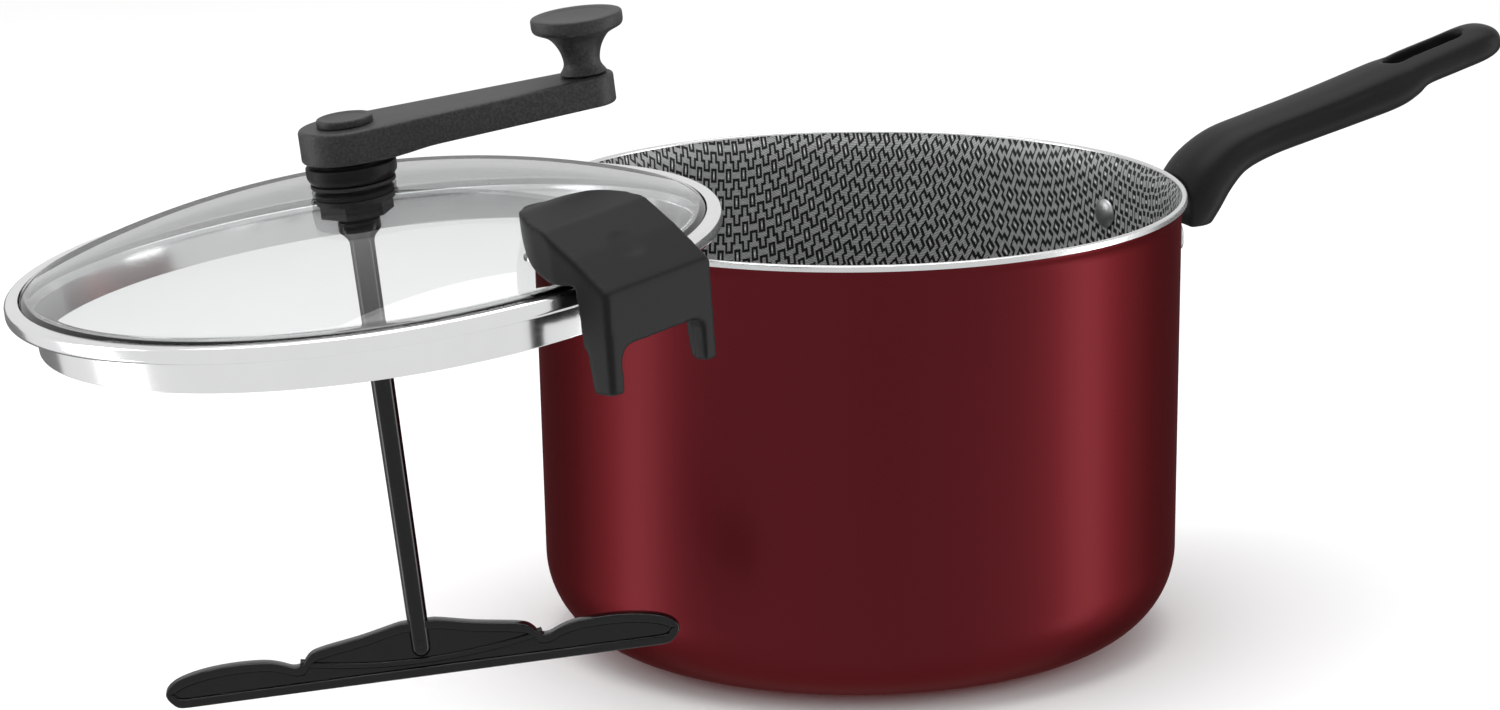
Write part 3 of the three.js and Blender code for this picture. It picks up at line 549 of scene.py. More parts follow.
@dataclass(frozen=True)
class RedLacquer:
    """Satin metallic red lacquer over drawn aluminium."""

    deep: tuple = (0.085, 0.0085, 0.0115)
    lit: tuple = (0.118, 0.0125, 0.0165)

    def material(self) -> bpy.types.Material:
        """Fine flake in the colour, a slow change of tone and a faint orange peel."""
        g = Graph("red_lacquer")
        flake = g.noise(5200, 1.5)
        drift = g.noise(9, 2, (1, 1, 0.25))
        tone = g.span(flake, 0.0, 0.45, 0.3, 0.75) + g.span(drift, 0.0, 0.5, 0.35, 0.65)
        g.link(g.between(tone, self.deep, self.lit), g.shader.inputs["Base Color"])
        g.set(Metallic=0.92, Coat_Weight=0.06, Coat_Roughness=0.25, Specular_Tint=(0.5, 0.09, 0.11, 1))
        g.link(g.span(flake, 0.36, 0.44).socket, g.shader.inputs["Roughness"])
        g.bump(g.noise(900, 2), 0.00002, 0.5)
        return g.material


@dataclass(frozen=True)
class PrintedNonstick:
    """Grey non-stick coating with a printed maze of small frames and stepped lines.

    Frames stand in rows, each row half a pitch along from the last. Between two rows runs one stepped line
    that rises above the lower row's frames and dips below the upper row's. Lengths are on the flat disc.
    """

    pitch: float = 11.5
    row: float = 9.2
    frame_half: tuple = (1.4, 1.95)
    stroke: tuple = (1.6, 0.95)
    spot_half: tuple = (0.42, 0.62)
    line_swing: float = 0.33
    line_half: float = 0.16
    hatch_pitch: float = 0.95
    ink: tuple = (0.006, 0.006, 0.0065)
    dark: tuple = (0.20, 0.21, 0.207)
    light: tuple = (0.62, 0.635, 0.63)
    spot: tuple = (0.8, 0.8, 0.8)

    def material(self) -> bpy.types.Material:
        """The print in ink over a coating with a fine brushed hatch."""
        g = Graph("printed_nonstick")
        flat = g.node("ShaderNodeUVMap")
        flat.uv_map = "flat_print"
        split = g.node("ShaderNodeSeparateXYZ")
        g.link(flat.outputs[0], split.inputs[0])
        u = Field(g, split.outputs[0]) * (PRINT_UNIT / self.pitch)
        v = Field(g, split.outputs[1]) * (PRINT_UNIT / self.row)
        print_mask = self.frames(u, v).larger(self.stepped_line(u, v))
        wander = g.noise(6, 2, source=flat.outputs[0])
        across = u * (self.pitch / 2) + v * self.row
        hatch = (across * (FULL_TURN / self.hatch_pitch) + wander * 9).math("SINE")
        grain = g.noise(260, 2, (0.12, 1, 1), flat.outputs[0])
        shade = g.span(hatch, 0.0, 0.55, -0.2, 0.9) + g.span(grain, 0.0, 0.45, 0.35, 0.7)
        ground = g.between(shade, self.dark, self.light)
        spotted = g.between(self.spots(u, v), ground, self.spot)
        g.link(g.between(print_mask, spotted, self.ink), g.shader.inputs["Base Color"])
        g.set(Metallic=0.15, Specular_IOR_Level=0.4)
        g.link(g.span(shade, 0.36, 0.5).socket, g.shader.inputs["Roughness"])
        g.bump(shade - print_mask * 1.5, 0.00004, 0.6)
        return g.material

    def offsets(self, u: Field, v: Field) -> tuple:
        """Distances from the nearest frame's centre along and across the rows."""
        nearest = (v + 0.5).math("FLOOR")
        along = u - nearest * 0.5
        return (along - (along + 0.5).math("FLOOR")).size() * self.pitch, (v - nearest).size() * self.row

    def spots(self, u: Field, v: Field) -> Field:
        """One on the pale spot in the middle of each frame."""
        x, y = self.offsets(u, v)
        return (x - self.spot_half[0]).larger(y - self.spot_half[1]).below(0.0)

    def frames(self, u: Field, v: Field) -> Field:
        """One inside the strokes of the small frames: inside the outer outline and outside the inner one."""
        x, y = self.offsets(u, v)
        half_x, half_y = self.stroke[0] / 2, self.stroke[1] / 2
        outer = (x - (self.frame_half[0] + half_x)).larger(y - (self.frame_half[1] + half_y)).below(0.0)
        inner = (x - (self.frame_half[0] - half_x)).larger(y - (self.frame_half[1] - half_y)).above(0.0)
        return outer * inner

    def stepped_line(self, u: Field, v: Field) -> Field:
        """One on the stepped line between two rows: level runs at three heights, joined by risers."""
        lower = v.math("FLOOR")
        height = v - lower - 0.5
        along = u - lower * 0.5
        c = (along - (along + 0.5).math("FLOOR")).size()
        far = 0.5 - self.line_half
        level = (c.below(self.line_half) - c.above(far)) * self.line_swing
        riser, slack = self.stroke[0] / 2 / self.pitch, self.stroke[1] / 2 / self.row
        runs = (height - level).size().below(slack)
        reach = self.line_swing + slack
        up = (c - self.line_half).size().below(riser) * height.above(-slack) * height.below(reach)
        down = (c - far).size().below(riser) * height.below(slack) * height.above(-reach)
        return runs.larger(up).larger(down)


class MetalLook(Enum):
    """A bare metal surface: its name, colour, roughness and the depth of its polishing marks in metres."""

    POLISHED = ("polished_steel", (0.88, 0.885, 0.89), 0.14, 0.000004)
    SATIN = ("satin_aluminium", (0.73, 0.735, 0.74), 0.24, 0.00002)
    DRAWN = ("drawn_aluminium", (0.42, 0.425, 0.43), 0.34, 0.00003)

    def material(self) -> bpy.types.Material:
        """Marks drawn out along the part, with roughness that follows them, over uneven gloss."""
        name, colour, roughness, depth = self.value
        g = Graph(name)
        marks = g.noise(2600, 2, (0.2, 0.2, 1))
        clouds = g.noise(60, 3)
        shade = g.span(clouds, 0.88, 1.0, 0.35, 0.65)
        g.link(g.between(shade, tuple(0.8 * c for c in colour), colour), g.shader.inputs["Base Color"])
        g.set(Metallic=1.0)
        g.link(g.span(marks, roughness * 0.75, roughness * 1.35).socket, g.shader.inputs["Roughness"])
        g.bump(marks, depth, 0.4)
        return g.material


class PlasticLook(Enum):
    """A moulded plastic: name, dark and light tone, roughness, gloss, grain per metre and grain depth."""

    HANDLE = ("matte_phenolic", 0.005, 0.009, 0.45, 0.14, 2200, 0.00003)
    GRAINED = ("grained_plastic", 0.006, 0.034, 0.5, 0.4, 1300, 0.00016)
    GLOSS = ("gloss_plastic", 0.0015, 0.003, 0.1, 0.3, 500, 0.00002)
    SILICONE = ("grey_silicone", 0.018, 0.028, 0.62, 0.2, 1200, 0.00003)

    def material(self) -> bpy.types.Material:
        """Spark-eroded grain in colour, gloss and height, over a slow change of tone."""
        name, dark, light, roughness, gloss, grain_scale, depth = self.value
        g = Graph(name)
        grain = g.noise(grain_scale, 2.5)
        slow = g.noise(38, 2)
        amount = g.span(grain, 0.0, 0.75, 0.38, 0.72) + g.span(slow, 0.0, 0.25, 0.3, 0.7)
        g.link(g.between(amount, (dark,) * 3, (light,) * 3), g.shader.inputs["Base Color"])
        g.link(g.span(grain, roughness * 0.86, roughness * 1.16).socket, g.shader.inputs["Roughness"])
        g.set(Specular_IOR_Level=gloss)
        g.bump(grain, depth, 0.7)
        return g.material


@dataclass(frozen=True)
class ClearGlass:
    """Clear tempered glass, greyer where light runs a long way through it."""

    tint: tuple = (0.975, 0.985, 0.98)
    inner_tint: tuple = (0.1, 0.13, 0.13)
    density: float = 80.0

    def material(self) -> bpy.types.Material:
        """Smooth glass with a faint film that varies its gloss."""
        g = Graph("clear_glass")
        film = g.noise(45, 3)
        g.link(g.between(film, self.tint, (1.0, 1.0, 1.0)), g.shader.inputs["Base Color"])
        g.set(Transmission_Weight=1.0, IOR=1.4)
        inside = g.node("ShaderNodeVolumeAbsorption")
        inside.inputs["Color"].default_value = (*self.inner_tint, 1)
        inside.inputs["Density"].default_value = self.density
        g.link(inside.outputs[0], g.tree.nodes["Material Output"].inputs["Volume"])
        g.link(g.span(film, 0.0, 0.02, 0.35, 0.75).socket, g.shader.inputs["Roughness"])
        return g.material


@dataclass
class Finishes:
    """One material for each finish of the object."""

    lacquer: bpy.types.Material
    nonstick: bpy.types.Material
    polished: bpy.types.Material
    satin: bpy.types.Material
    drawn: bpy.types.Material
    handle: bpy.types.Material
    grained: bpy.types.Material
    gloss: bpy.types.Material
    silicone: bpy.types.Material
    glass: bpy.types.Material

    @classmethod
    def make(cls) -> "Finishes":
        """Builds every finish once."""
        return cls(
            lacquer=RedLacquer().material(),
            nonstick=PrintedNonstick().material(),
            polished=MetalLook.POLISHED.material(),
            satin=MetalLook.SATIN.material(),
            drawn=MetalLook.DRAWN.material(),
            handle=PlasticLook.HANDLE.material(),
            grained=PlasticLook.GRAINED.material(),
            gloss=PlasticLook.GLOSS.material(),
            silicone=PlasticLook.SILICONE.material(),
            glass=ClearGlass().material(),
        )


# ---------------------------------------------------------------- pan


@dataclass
class Pan:
    """The drawn pan with its rivets, handle bracket and handle grip."""

    finishes: Finishes
    wall: float = 2.0
    floor: float = 4.0
    corner: float = 28.0
    taper: float = 1.5
    flare: float = 1.8
    flare_height: float = 6.5
    rim_band: float = 1.9
    lip_inside: float = 0.1
    base_disc: float = 71.0
    base_hollow: float = 0.5
    corner_steps: int = 28
    floor_steps: int = 25
    rivet_shank: float = 2.4
    rivet_tail: float = 1.3
    rivet_head: float = 1.7

    def build(self) -> None:
        """Builds every piece of the pan body."""
        self.upright = Axis.make((0, 0, 0), (0, 0, 1), (1, 0, 0))
        self.shell()
        self.rivets()
        bracket = softened_copy("handle_bracket", "handle_bracket_plate", self.finishes.satin, 0.35, 2)
        mount(bracket, "pan", "polished_steel", "handle_bracket")
        HandleGrip(self.finishes).build()

    def shell(self) -> None:
        """Revolves the pan: lacquer outside, bare metal on the rim and under the base, coating inside."""
        _, top, rim = self.upright.span("pan_body")
        outer = rim - self.flare
        inner = outer - self.wall
        foot = outer - self.taper
        middle = foot - self.corner
        flare_foot = top - self.flare_height
        bend = self.corner - self.wall
        lip = rim - self.wall + self.lip_inside
        disc, hollow = self.base_disc, self.base_hollow
        base = np.array([[0, hollow], [disc - 2, hollow], [disc - 1, 0.0], [middle, 0.0]])
        corner_out = arc((middle, self.corner), self.corner, -88, 0, self.corner_steps)
        flare_out = filleted([(outer, flare_foot), (outer + self.flare * 0.3, flare_foot + 2.2, 1.5),
                              (rim, top - self.rim_band)], 1.0)
        lip_out = filleted([(rim, top - self.rim_band + 0.05), (rim, top, 0.7),
                            (rim - self.wall + 0.4, top, 0.5), (lip, top - 0.6)], 0.6)
        flare_in = filleted([(lip, top - 0.7), (inner + self.flare * 0.35, flare_foot + 2.6, 2),
                             (inner, flare_foot - 1.5, 3), (inner - 0.1, flare_foot - 8)], 1.0)
        corner_in = arc((middle, self.floor + bend), bend, 0, -90, self.corner_steps)
        floor = np.stack([np.linspace(middle, 0, self.floor_steps + 1)[1:],
                          np.full(self.floor_steps, self.floor)], 1)
        parts = [base, corner_out, flare_out, lip_out, flare_in, corner_in, floor]
        profile = np.concatenate(parts)
        zones = np.concatenate([np.full(len(p), zone) for p, zone in zip(parts, (1, 0, 0, 2, 3, 3, 3))])[:-1]
        zones[len(base) - 1] = 0
        steps = np.linalg.norm(np.diff(profile, axis=0), axis=1)
        from_centre = np.concatenate([np.cumsum(steps[::-1])[::-1], [0]])
        surface = revolve(profile, LARGE_SEGMENTS, unrolled=from_centre / PRINT_UNIT, zones=zones)
        f = self.finishes
        piece = build("pan_shell", surface, self.upright, [f.lacquer, f.drawn, f.satin, f.nonstick])
        mount(piece, "pan", "pan_lacquer", "pan_body")

    def rivets(self) -> None:
        """Revolves each rivet about its own radial axis: a domed head inside and a flat tail outside."""
        for side in ("left", "right"):
            node = f"handle_rivet_{side}"
            low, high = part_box(node)
            middle = (np.array(low) + np.array(high)) / 2
            out = np.array([middle[0], middle[1], 0])
            axis = Axis.make((0, 0, middle[2]), out, (0, 0, 1))
            start, end, head = axis.span(node)
            shank, tail_foot, head_foot = self.rivet_shank, end - self.rivet_tail, start + self.rivet_head
            quarter = np.linspace(0, math.pi / 2, 12)
            dome = np.stack([head * np.sin(quarter), head_foot - self.rivet_head * np.cos(quarter)], 1)
            rest = filleted([(head, head_foot + 0.05), (shank, head_foot + 0.1, 0), (shank, tail_foot, 0),
                             (head - 0.4, tail_foot, 0.2), (head - 0.7, end, 0.6), (0, end)], 0.3)
            turned_piece(f"rivet_{side}", np.concatenate([dome, rest]), axis, self.finishes.drawn,
                         Place("pan", "bare_aluminium", node), SMALL_SEGMENTS, False)


@dataclass
class HandleGrip:
    """The moulded grip: a section swept from its neck at the wall to its tail, with a long hanging slot."""

    finishes: Finishes
    thickness: float = 13.8
    width: float = 24.0
    neck_width: float = 28.0
    tail_width: float = 21.0
    squareness: float = 2.5
    reach: float = 128.8
    wall_radius: float = 102.0
    neck_gap: float = 9.5
    groove_depth: float = 1.1
    groove_height: float = 0.25
    groove_spread: float = 0.2
    rings: int = 240
    around: int = 96
    slot_length: float = 29.0
    slot_width: float = 8.4
    slot_depth: float = 4.5
    slot_from_tip: float = 13.0
    hole_length: float = 9.5
    hole_width: float = 7.2
    cut_reach: float = 20.0
    trim_start: float = 60.0
    trim_half: float = 30.0
    skin: float = 0.55
    easing: int = 10

    def build(self) -> None:
        """Sweeps the grip, cuts it with its slots and rounds the cut edges."""
        upright = Axis.make((0, 0, 0), (0, 0, 1), (1, 0, 0))
        self.rim = upright.span("pan_body")[1]
        body = build("grip", self.swept(), upright, [self.finishes.handle])
        for cutter in self.cutters(upright):
            cut = body.modifiers.new("cut", "BOOLEAN")
            cut.operation = "DIFFERENCE"
            cut.solver = "EXACT"
            cut.object = cutter
            applied(body)
            bpy.data.objects.remove(cutter)
        ease_edges(body, self.finishes.handle, self.skin, self.easing)
        mount(body, "pan", "handle_phenolic", "handle_grip")

    def stations(self) -> np.ndarray:
        """Stations along the grip: out from the wall, up from the rim, half thickness and half width."""
        t, neck, grip, tail = self.thickness, self.neck_width / 2, self.width / 2, self.tail_width / 2
        return np.array([
            [8, -20.6, t * 0.74, neck - 1], [15.2, -11.4, t * 0.66, neck], [20.6, -4.2, t * 0.63, neck - 0.4],
            [28.5, 2, t * 0.55, grip + 0.8], [40, 6.1, t * 0.5, grip], [55, 10, t * 0.5, grip],
            [70, 13.9, t * 0.52, grip + 0.2], [86, 18.3, t * 0.55, grip], [92.5, 20.6, t * 0.5, grip - 0.4],
            [98, 23.4, t * 0.42, grip - 1], [110, 26.9, t * 0.42, tail],
            [self.reach - 8.5, 29.9, t * 0.42, tail - 0.3], [self.reach - 3.4, 31.3, t * 0.34, tail * 0.82],
            [self.reach - 0.8, 32, t * 0.19, tail * 0.45], [self.reach, 32.2, t * 0.03, tail * 0.08],
        ])

    def swept(self) -> Surface:
        """A superellipse section square to a smooth centre line.

        A point is the centre plus the normal times the half thickness times s, and the side direction times
        the half width times c, where s and c are the sine and cosine raised to two over the squareness. A
        soft groove along each side pulls the width in by a bell curve of s.
        """
        stations = self.stations()
        at = np.linspace(0, 1, self.rings)
        line = spline(stations[:, :2], at)
        ahead = spline(stations[:, :2], at + 1e-4) - spline(stations[:, :2], at - 1e-4)
        ahead /= np.linalg.norm(ahead, axis=1)[:, None]
        normal = np.stack([-ahead[:, 1], ahead[:, 0]], 1)
        size = spline(stations[:, 2:], at)
        angle = np.arange(self.around) * FULL_TURN / self.around
        power = 2 / self.squareness
        s = np.sign(np.sin(angle)) * np.abs(np.sin(angle)) ** power
        c = np.sign(np.cos(angle)) * np.abs(np.cos(angle)) ** power
        fade = np.clip((line[:, 0] - 22) / 20, 0, 1) * np.clip((100 - line[:, 0]) / 25, 0, 1)
        bell = np.exp(-((s - self.groove_height) / self.groove_spread) ** 2)
        groove = self.groove_depth * bell * np.sign(c) * (np.abs(c) > 0.5)
        rise = size[:, :1] * s
        across = size[:, 1:] * c - fade[:, None] * groove
        x = self.wall_radius + line[:, :1] + normal[:, :1] * rise
        z = self.rim + line[:, 1:] + normal[:, 1:] * rise
        rings = np.stack([x, across, z], -1)
        return loft(rings[:, ::-1])

    def cutters(self, upright: Axis) -> list:
        """Solids that trim the neck at the wall and below, and sink the hanging slot and its through hole."""
        near_out, near_up, near_half = self.stations()[5][:3]
        far_out, far_up, far_half = self.stations()[10][:3]
        slope = math.atan2(far_up + far_half - near_up - near_half, far_out - near_out)
        middle = self.reach - self.slot_from_tip - self.slot_length / 2
        top_up = near_up + near_half + (middle - near_out) * math.tan(slope)
        origin = (np.array([self.wall_radius + middle, 0, self.rim + top_up])) * MM
        sine, cosine = math.sin(slope), math.cos(slope)
        tilted = Axis.make(origin, (-sine, 0, cosine), (cosine, 0, sine))
        shift = (self.slot_length - self.hole_length) / 2 - (self.slot_width - self.hole_width) / 2
        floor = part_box("handle_grip")[0].z / MM
        out, start, half = self.cut_reach, self.trim_start, self.trim_half
        return [
            self.cutter("slot", tilted, self.slot_length, self.slot_width, -self.slot_depth, out, 0),
            self.cutter("hole", tilted, self.hole_length, self.hole_width, -out, out, shift),
            self.box_cutter("wall_side", upright, (start, -half, 80),
                            (self.wall_radius + self.neck_gap, half, 190)),
            self.box_cutter("below", upright, (start, -half, 60), (self.wall_radius + 40, half, floor)),
        ]

    def cutter(self, name: str, axis: Axis, length: float, width: float, low: float, high: float,
               shift: float) -> bpy.types.Object:
        """An upright block with two round ends, its side opening out a little towards the top."""
        half = (length - width) / 2
        outline = np.concatenate([arc((half, 0), width / 2, -90, 90, 20),
                                  arc((-half, 0), width / 2, 90, 270, 20)])
        heights = [low, -1.0, 0.2, high]
        grow = [1.0, 1.0, 1.06, 1.06]
        rings = np.stack([np.column_stack([outline * g + (shift, 0), np.full(len(outline), z)])
                          for z, g in zip(heights, grow)])
        return build(name, loft(rings), axis, [])

    def box_cutter(self, name: str, axis: Axis, low: tuple, high: tuple) -> bpy.types.Object:
        """A plain block between two corners."""
        outline = np.array([[low[0], low[1]], [high[0], low[1]], [high[0], high[1]], [low[0], high[1]]])
        rings = np.stack([np.column_stack([outline, np.full(4, z)]) for z in (low[2], high[2])])
        return build(name, loft(rings), axis, [])


# ---------------------------------------------------------------- lid


@dataclass
class Lid:
    """The glass dome in its steel ring, the hub that clamps it and the lock bracket."""

    finishes: Finishes
    axis: Axis
    steel: float = 0.6
    band: float = 4.9
    grip: float = 3.6
    glass: float = 3.2
    dome: float = 19.4
    glass_bore: float = 6.2
    flat_edge: float = 1.6
    hub_bore: float = 3.9
    hub_shank: float = 5.9
    hub_flange: float = 5.2
    bracket_skin: float = 0.6
    bracket_rounds: int = 14

    def build(self) -> None:
        """Builds every piece of the lid body."""
        self.ring()
        self.dome_glass()
        self.hub()
        bracket = clean_copy("lock_bracket", "lock_bracket_shell", self.finishes.handle)
        ease_edges(bracket, self.finishes.handle, self.bracket_skin, self.bracket_rounds)
        mount(bracket, "lid", "handle_phenolic", "lock_bracket")
        repaint(self.finishes.silicone, "lock_pad")
        repaint(self.finishes.polished, "lock_washer", "lock_screw")

    def ring(self) -> None:
        """Revolves the folded steel ring: a channel round the glass edge with a deep lip below it."""
        _, _, radius = self.axis.span("lid_ring")
        points = self.axis.local("lid_ring")
        low = points[:, 2].min()
        lip = np.hypot(points[:, 0], points[:, 1])[points[:, 2] < low + 1].max()
        inner = radius - self.grip - 0.6
        shelf, steel = -self.band, self.steel
        profile = filleted([
            (lip - steel, low, 0.15), (lip, low, 0.3), (lip + 0.5, shelf - 1.2, 0.8), (lip + 1.6, shelf, 0.7),
            (radius - 0.9, shelf, 0.5), (radius, shelf + 0.9, 0.8), (radius, -0.9, 0.8),
            (radius - 0.9, 0, 0.7), (inner, 0, 0.15), (inner, -steel, 0.15),
            (radius - steel - 0.4, -steel, 0.3), (radius - steel, -1.2, 0.3),
            (radius - steel, shelf + steel - 0.1, 0.3),
            (lip + 0.8, shelf + steel, 0.4), (lip - steel + 0.4, shelf - 1.2, 0.6),
        ], 0.3, 5, True)
        turned_piece("lid_steel_ring", profile, self.axis, self.finishes.polished,
                     Place("lid", "polished_steel", "lid_ring"), LARGE_SEGMENTS)

    def dome_glass(self) -> None:
        """Revolves the glass: two concentric ball caps that meet in a flat edge held by the ring.

        A cap's height at radius r is its crown less the ball's radius plus the root of that radius squared
        less r squared.
        """
        ring_radius = self.axis.span("lid_ring")[2]
        edge = self.axis.span("lid_glass")[2]
        foot = ring_radius - self.grip
        ball = (foot ** 2 + self.dome ** 2) / (2 * self.dome)
        centre = self.dome - ball
        flat = foot - self.flat_edge
        r = np.linspace(flat, self.glass_bore, 40)
        outer = np.stack([r, centre + np.sqrt(ball ** 2 - r ** 2)], 1)
        inside = np.stack([r, centre + np.sqrt((ball - self.glass) ** 2 - r ** 2)], 1)[::-1]
        top = -(self.steel + 0.3)
        bottom = top - self.glass + 0.2
        rim = filleted([(flat - 1.4, bottom, 0), (edge - 0.4, bottom, 0.3), (edge, bottom + 0.5, 0.5),
                        (edge, top - 0.5, 0.5), (edge - 0.5, top, 0.3), (flat + 0.9, top, 0.4)], 0.4)
        profile = np.concatenate([rim, outer, inside])
        piece = turned_piece("lid_dome_glass", profile, self.axis, self.finishes.glass,
                             Place("lid", "clear_glass", "lid_glass"), LARGE_SEGMENTS, sharp_angle=50)
        piece.visible_shadow = False

    def hub(self) -> None:
        """Revolves the bush and gaskets, and softens the nut."""
        low, high, radius = self.axis.span("hub_bush")
        bore, shank, under = self.hub_bore, self.hub_shank, high - self.hub_flange
        bush = filleted([(bore, low, 0.2), (shank, low, 0.4), (shank, under, 0.2), (radius - 1.2, under, 0.4),
                         (radius, under + 1.8, 0.8), (radius, high - 0.2, 0.5), (radius - 1.6, high, 0.3),
                         (bore, high, 0.2)], 0.3, 5, True)
        # The bush takes the darker smooth handle finish rather than the arm's grained one: painted shade for
        # the arm's shadow that falls on it.
        turned_piece("hub_bush_moulding", bush, self.axis, self.finishes.handle,
                     Place("lid", "crank_plastic", "hub_bush"))
        for name in ("gasket_upper", "gasket_lower"):
            washer(name, self.axis, self.finishes.silicone, Place("lid", "grey_silicone", f"hub_{name}"),
                   shank + 0.3)
        nut = softened_copy("hub_nut", "hub_clamp_nut", self.finishes.grained, 0.5)
        mount(nut, "lid", "crank_plastic", "hub_nut")


def washer(name: str, axis: Axis, material: bpy.types.Material, place: Place, bore: float) -> None:
    """Revolves a flat washer with soft edges and a bore in a CAD washer's place."""
    low, high, radius = axis.span(place.node)
    profile = filleted([(bore, low), (radius, low), (radius, high), (bore, high)], 0.25, 4, True)
    turned_piece(name, profile, axis, material, place)


def repaint(material: bpy.types.Material, *nodes: str) -> None:
    """Gives CAD nodes a better material in their own slots."""
    for node in nodes:
        mesh = frame["nodes"][node].data
        mesh.materials.clear()
        mesh.materials.append(material)


# ---------------------------------------------------------------- crank and stirrer


@dataclass
class Crank:
    """The crank arm with its cap, and the stirrer rod and blade under it."""

    finishes: Finishes
    axis: Axis
    arm_length: float
    tip_radius: float = 8.6
    arm_thickness: float = 9.0
    arm_edge: float = 1.1
    crown_inset: float = 4.0
    edge_height: float = 10.0
    big_end_steps: int = 60
    small_end_steps: int = 44
    side_steps: int = 21
    undercut_share: float = 0.55
    undercut_run: float = 16.0
    cap_thickness: float = 2.2
    cap_plug: float = 3.5
    rod_top: float = 3.6
    rod_tip: float = 3.0
    washer_bore: float = 3.9
    rise: float = 1.6
    blade_turn: float = -15.6

    def build(self) -> None:
        """Builds every piece of the crank body."""
        self.arm()
        self.cap()
        self.rod()
        StirrerBlade(self.finishes, self.axis.turned(self.blade_turn)).build()
        washer("hub_thrust_washer", self.axis, self.finishes.polished,
               Place("crank", "polished_steel", "thrust_washer"), self.washer_bore)
        repaint(self.finishes.polished, "crank_screw", "knob_pin")
        repaint(self.finishes.gloss, "blade_pin")

    def arm(self) -> None:
        """Lofts the arm between two round ends.

        Each ring is the common-tangent outline of two circles, drawn in by an inset that follows a quarter
        circle at the top and bottom edges; the last ring shrinks to the line between the two centres. The top
        rises towards the knob in proportion to the distance along the arm.
        """
        points = self.axis.local("crank_arm")
        low, high = points[:, 2].min(), points[:, 2].max() - self.rise
        hub = np.hypot(points[:, 0], points[:, 1])[points[:, 0] < 0].max() - 0.05
        quarter = np.linspace(0, math.pi / 2, 7)
        inset_in = self.arm_edge * (1 - np.sin(quarter))
        step = self.arm_edge * (1 - np.cos(quarter)) / self.edge_height
        ends = np.array([self.tip_radius - 0.2, self.crown_inset])
        insets = np.concatenate([ends, inset_in, inset_in[::-1], ends[::-1]])
        share = np.concatenate([[0, 0], step, 1 - step[::-1], [1, 1]])
        rings = np.stack([self.arm_ring(hub, inset, part, low, high) for inset, part in zip(insets, share)])
        piece = build("crank_arm_moulding", loft(rings), self.axis, [self.finishes.grained], 50)
        mount(piece, "crank", "crank_plastic", "crank_arm")

    def arm_ring(self, hub: float, inset: float, share: float, low: float, high: float) -> np.ndarray:
        """One closed ring of the arm at a share of its height.

        Args:
            hub: Radius of the big end.
            inset: How far the outline is drawn in.
            share: 0 at the underside and 1 at the top.
            low: Height of the hub's underside.
            high: Height of the hub's top.

        Returns:
            The ring's points.
        """
        big, small = hub - inset, max(self.tip_radius - inset, 0.05)
        spread = math.degrees(math.acos((big - small) / self.arm_length))
        hub_end = arc((0, 0), big, spread, 360 - spread, self.big_end_steps)
        knob_end = arc((self.arm_length, 0), small, -spread, spread, self.small_end_steps)
        t = np.linspace(0, 1, self.side_steps + 1)[1:-1, None]
        sides = [a[-1] + (b[0] - a[-1]) * t for a, b in ((hub_end, knob_end), (knob_end, hub_end))]
        outline = np.concatenate([hub_end, sides[0], knob_end, sides[1]])
        along = np.clip(outline[:, 0] / self.arm_length, 0, 1)
        top = high + self.rise * along
        clear = np.clip((outline[:, 0] - hub * self.undercut_share) / self.undercut_run, 0, 1)
        smooth = clear * clear * (3 - 2 * clear)
        bottom = low * (1 - smooth) + (top - self.arm_thickness) * smooth
        height = bottom + (top - bottom) * share
        return np.column_stack([outline, height])

    def cap(self) -> None:
        """Revolves the round cap on the hub, with a shallow dish in its top."""
        low, high, radius = self.axis.span("crank_cap")
        plug, under = self.cap_plug, high - self.cap_thickness
        profile = filleted([(0, low), (plug, low), (plug, under), (radius, under, 0.2),
                            (radius, high, 0.7), (radius - 1.8, high, 0.5), (radius - 2.6, high - 0.25, 0.6),
                            (0, high - 0.3)], 0.3)
        turned_piece("crank_hub_cap", profile, self.axis, self.finishes.grained,
                     Place("crank", "crank_plastic", "crank_cap"), closed=False)

    def rod(self) -> None:
        """Revolves the stirrer rod: a shank under a collar, tapering to a rounded tip."""
        low, high, radius = self.axis.span("stirrer_rod")
        points = self.axis.local("stirrer_rod")
        wide = points[np.hypot(points[:, 0], points[:, 1]) > radius - 0.5][:, 2]
        collar_low, collar_high = wide.min(), wide.max()
        upper, end = self.rod_top, self.rod_tip
        quarter = np.linspace(0, math.pi / 2, 10)
        tip = np.stack([end * np.sin(quarter), low + end - end * np.cos(quarter)], 1)
        shaft = filleted([(end, low + end + 0.1), (upper, collar_low - 2.6, 1.5), (radius, collar_low, 0.5),
                          (radius, collar_high, 0.5), (upper, collar_high, 0.2), (upper, high, 0.4),
                          (0, high)], 0.4)
        turned_piece("stirrer_rod_moulding", np.concatenate([tip, shaft]), self.axis, self.finishes.gloss,
                     Place("crank", "stirrer_plastic", "stirrer_rod"), SMALL_SEGMENTS, False)


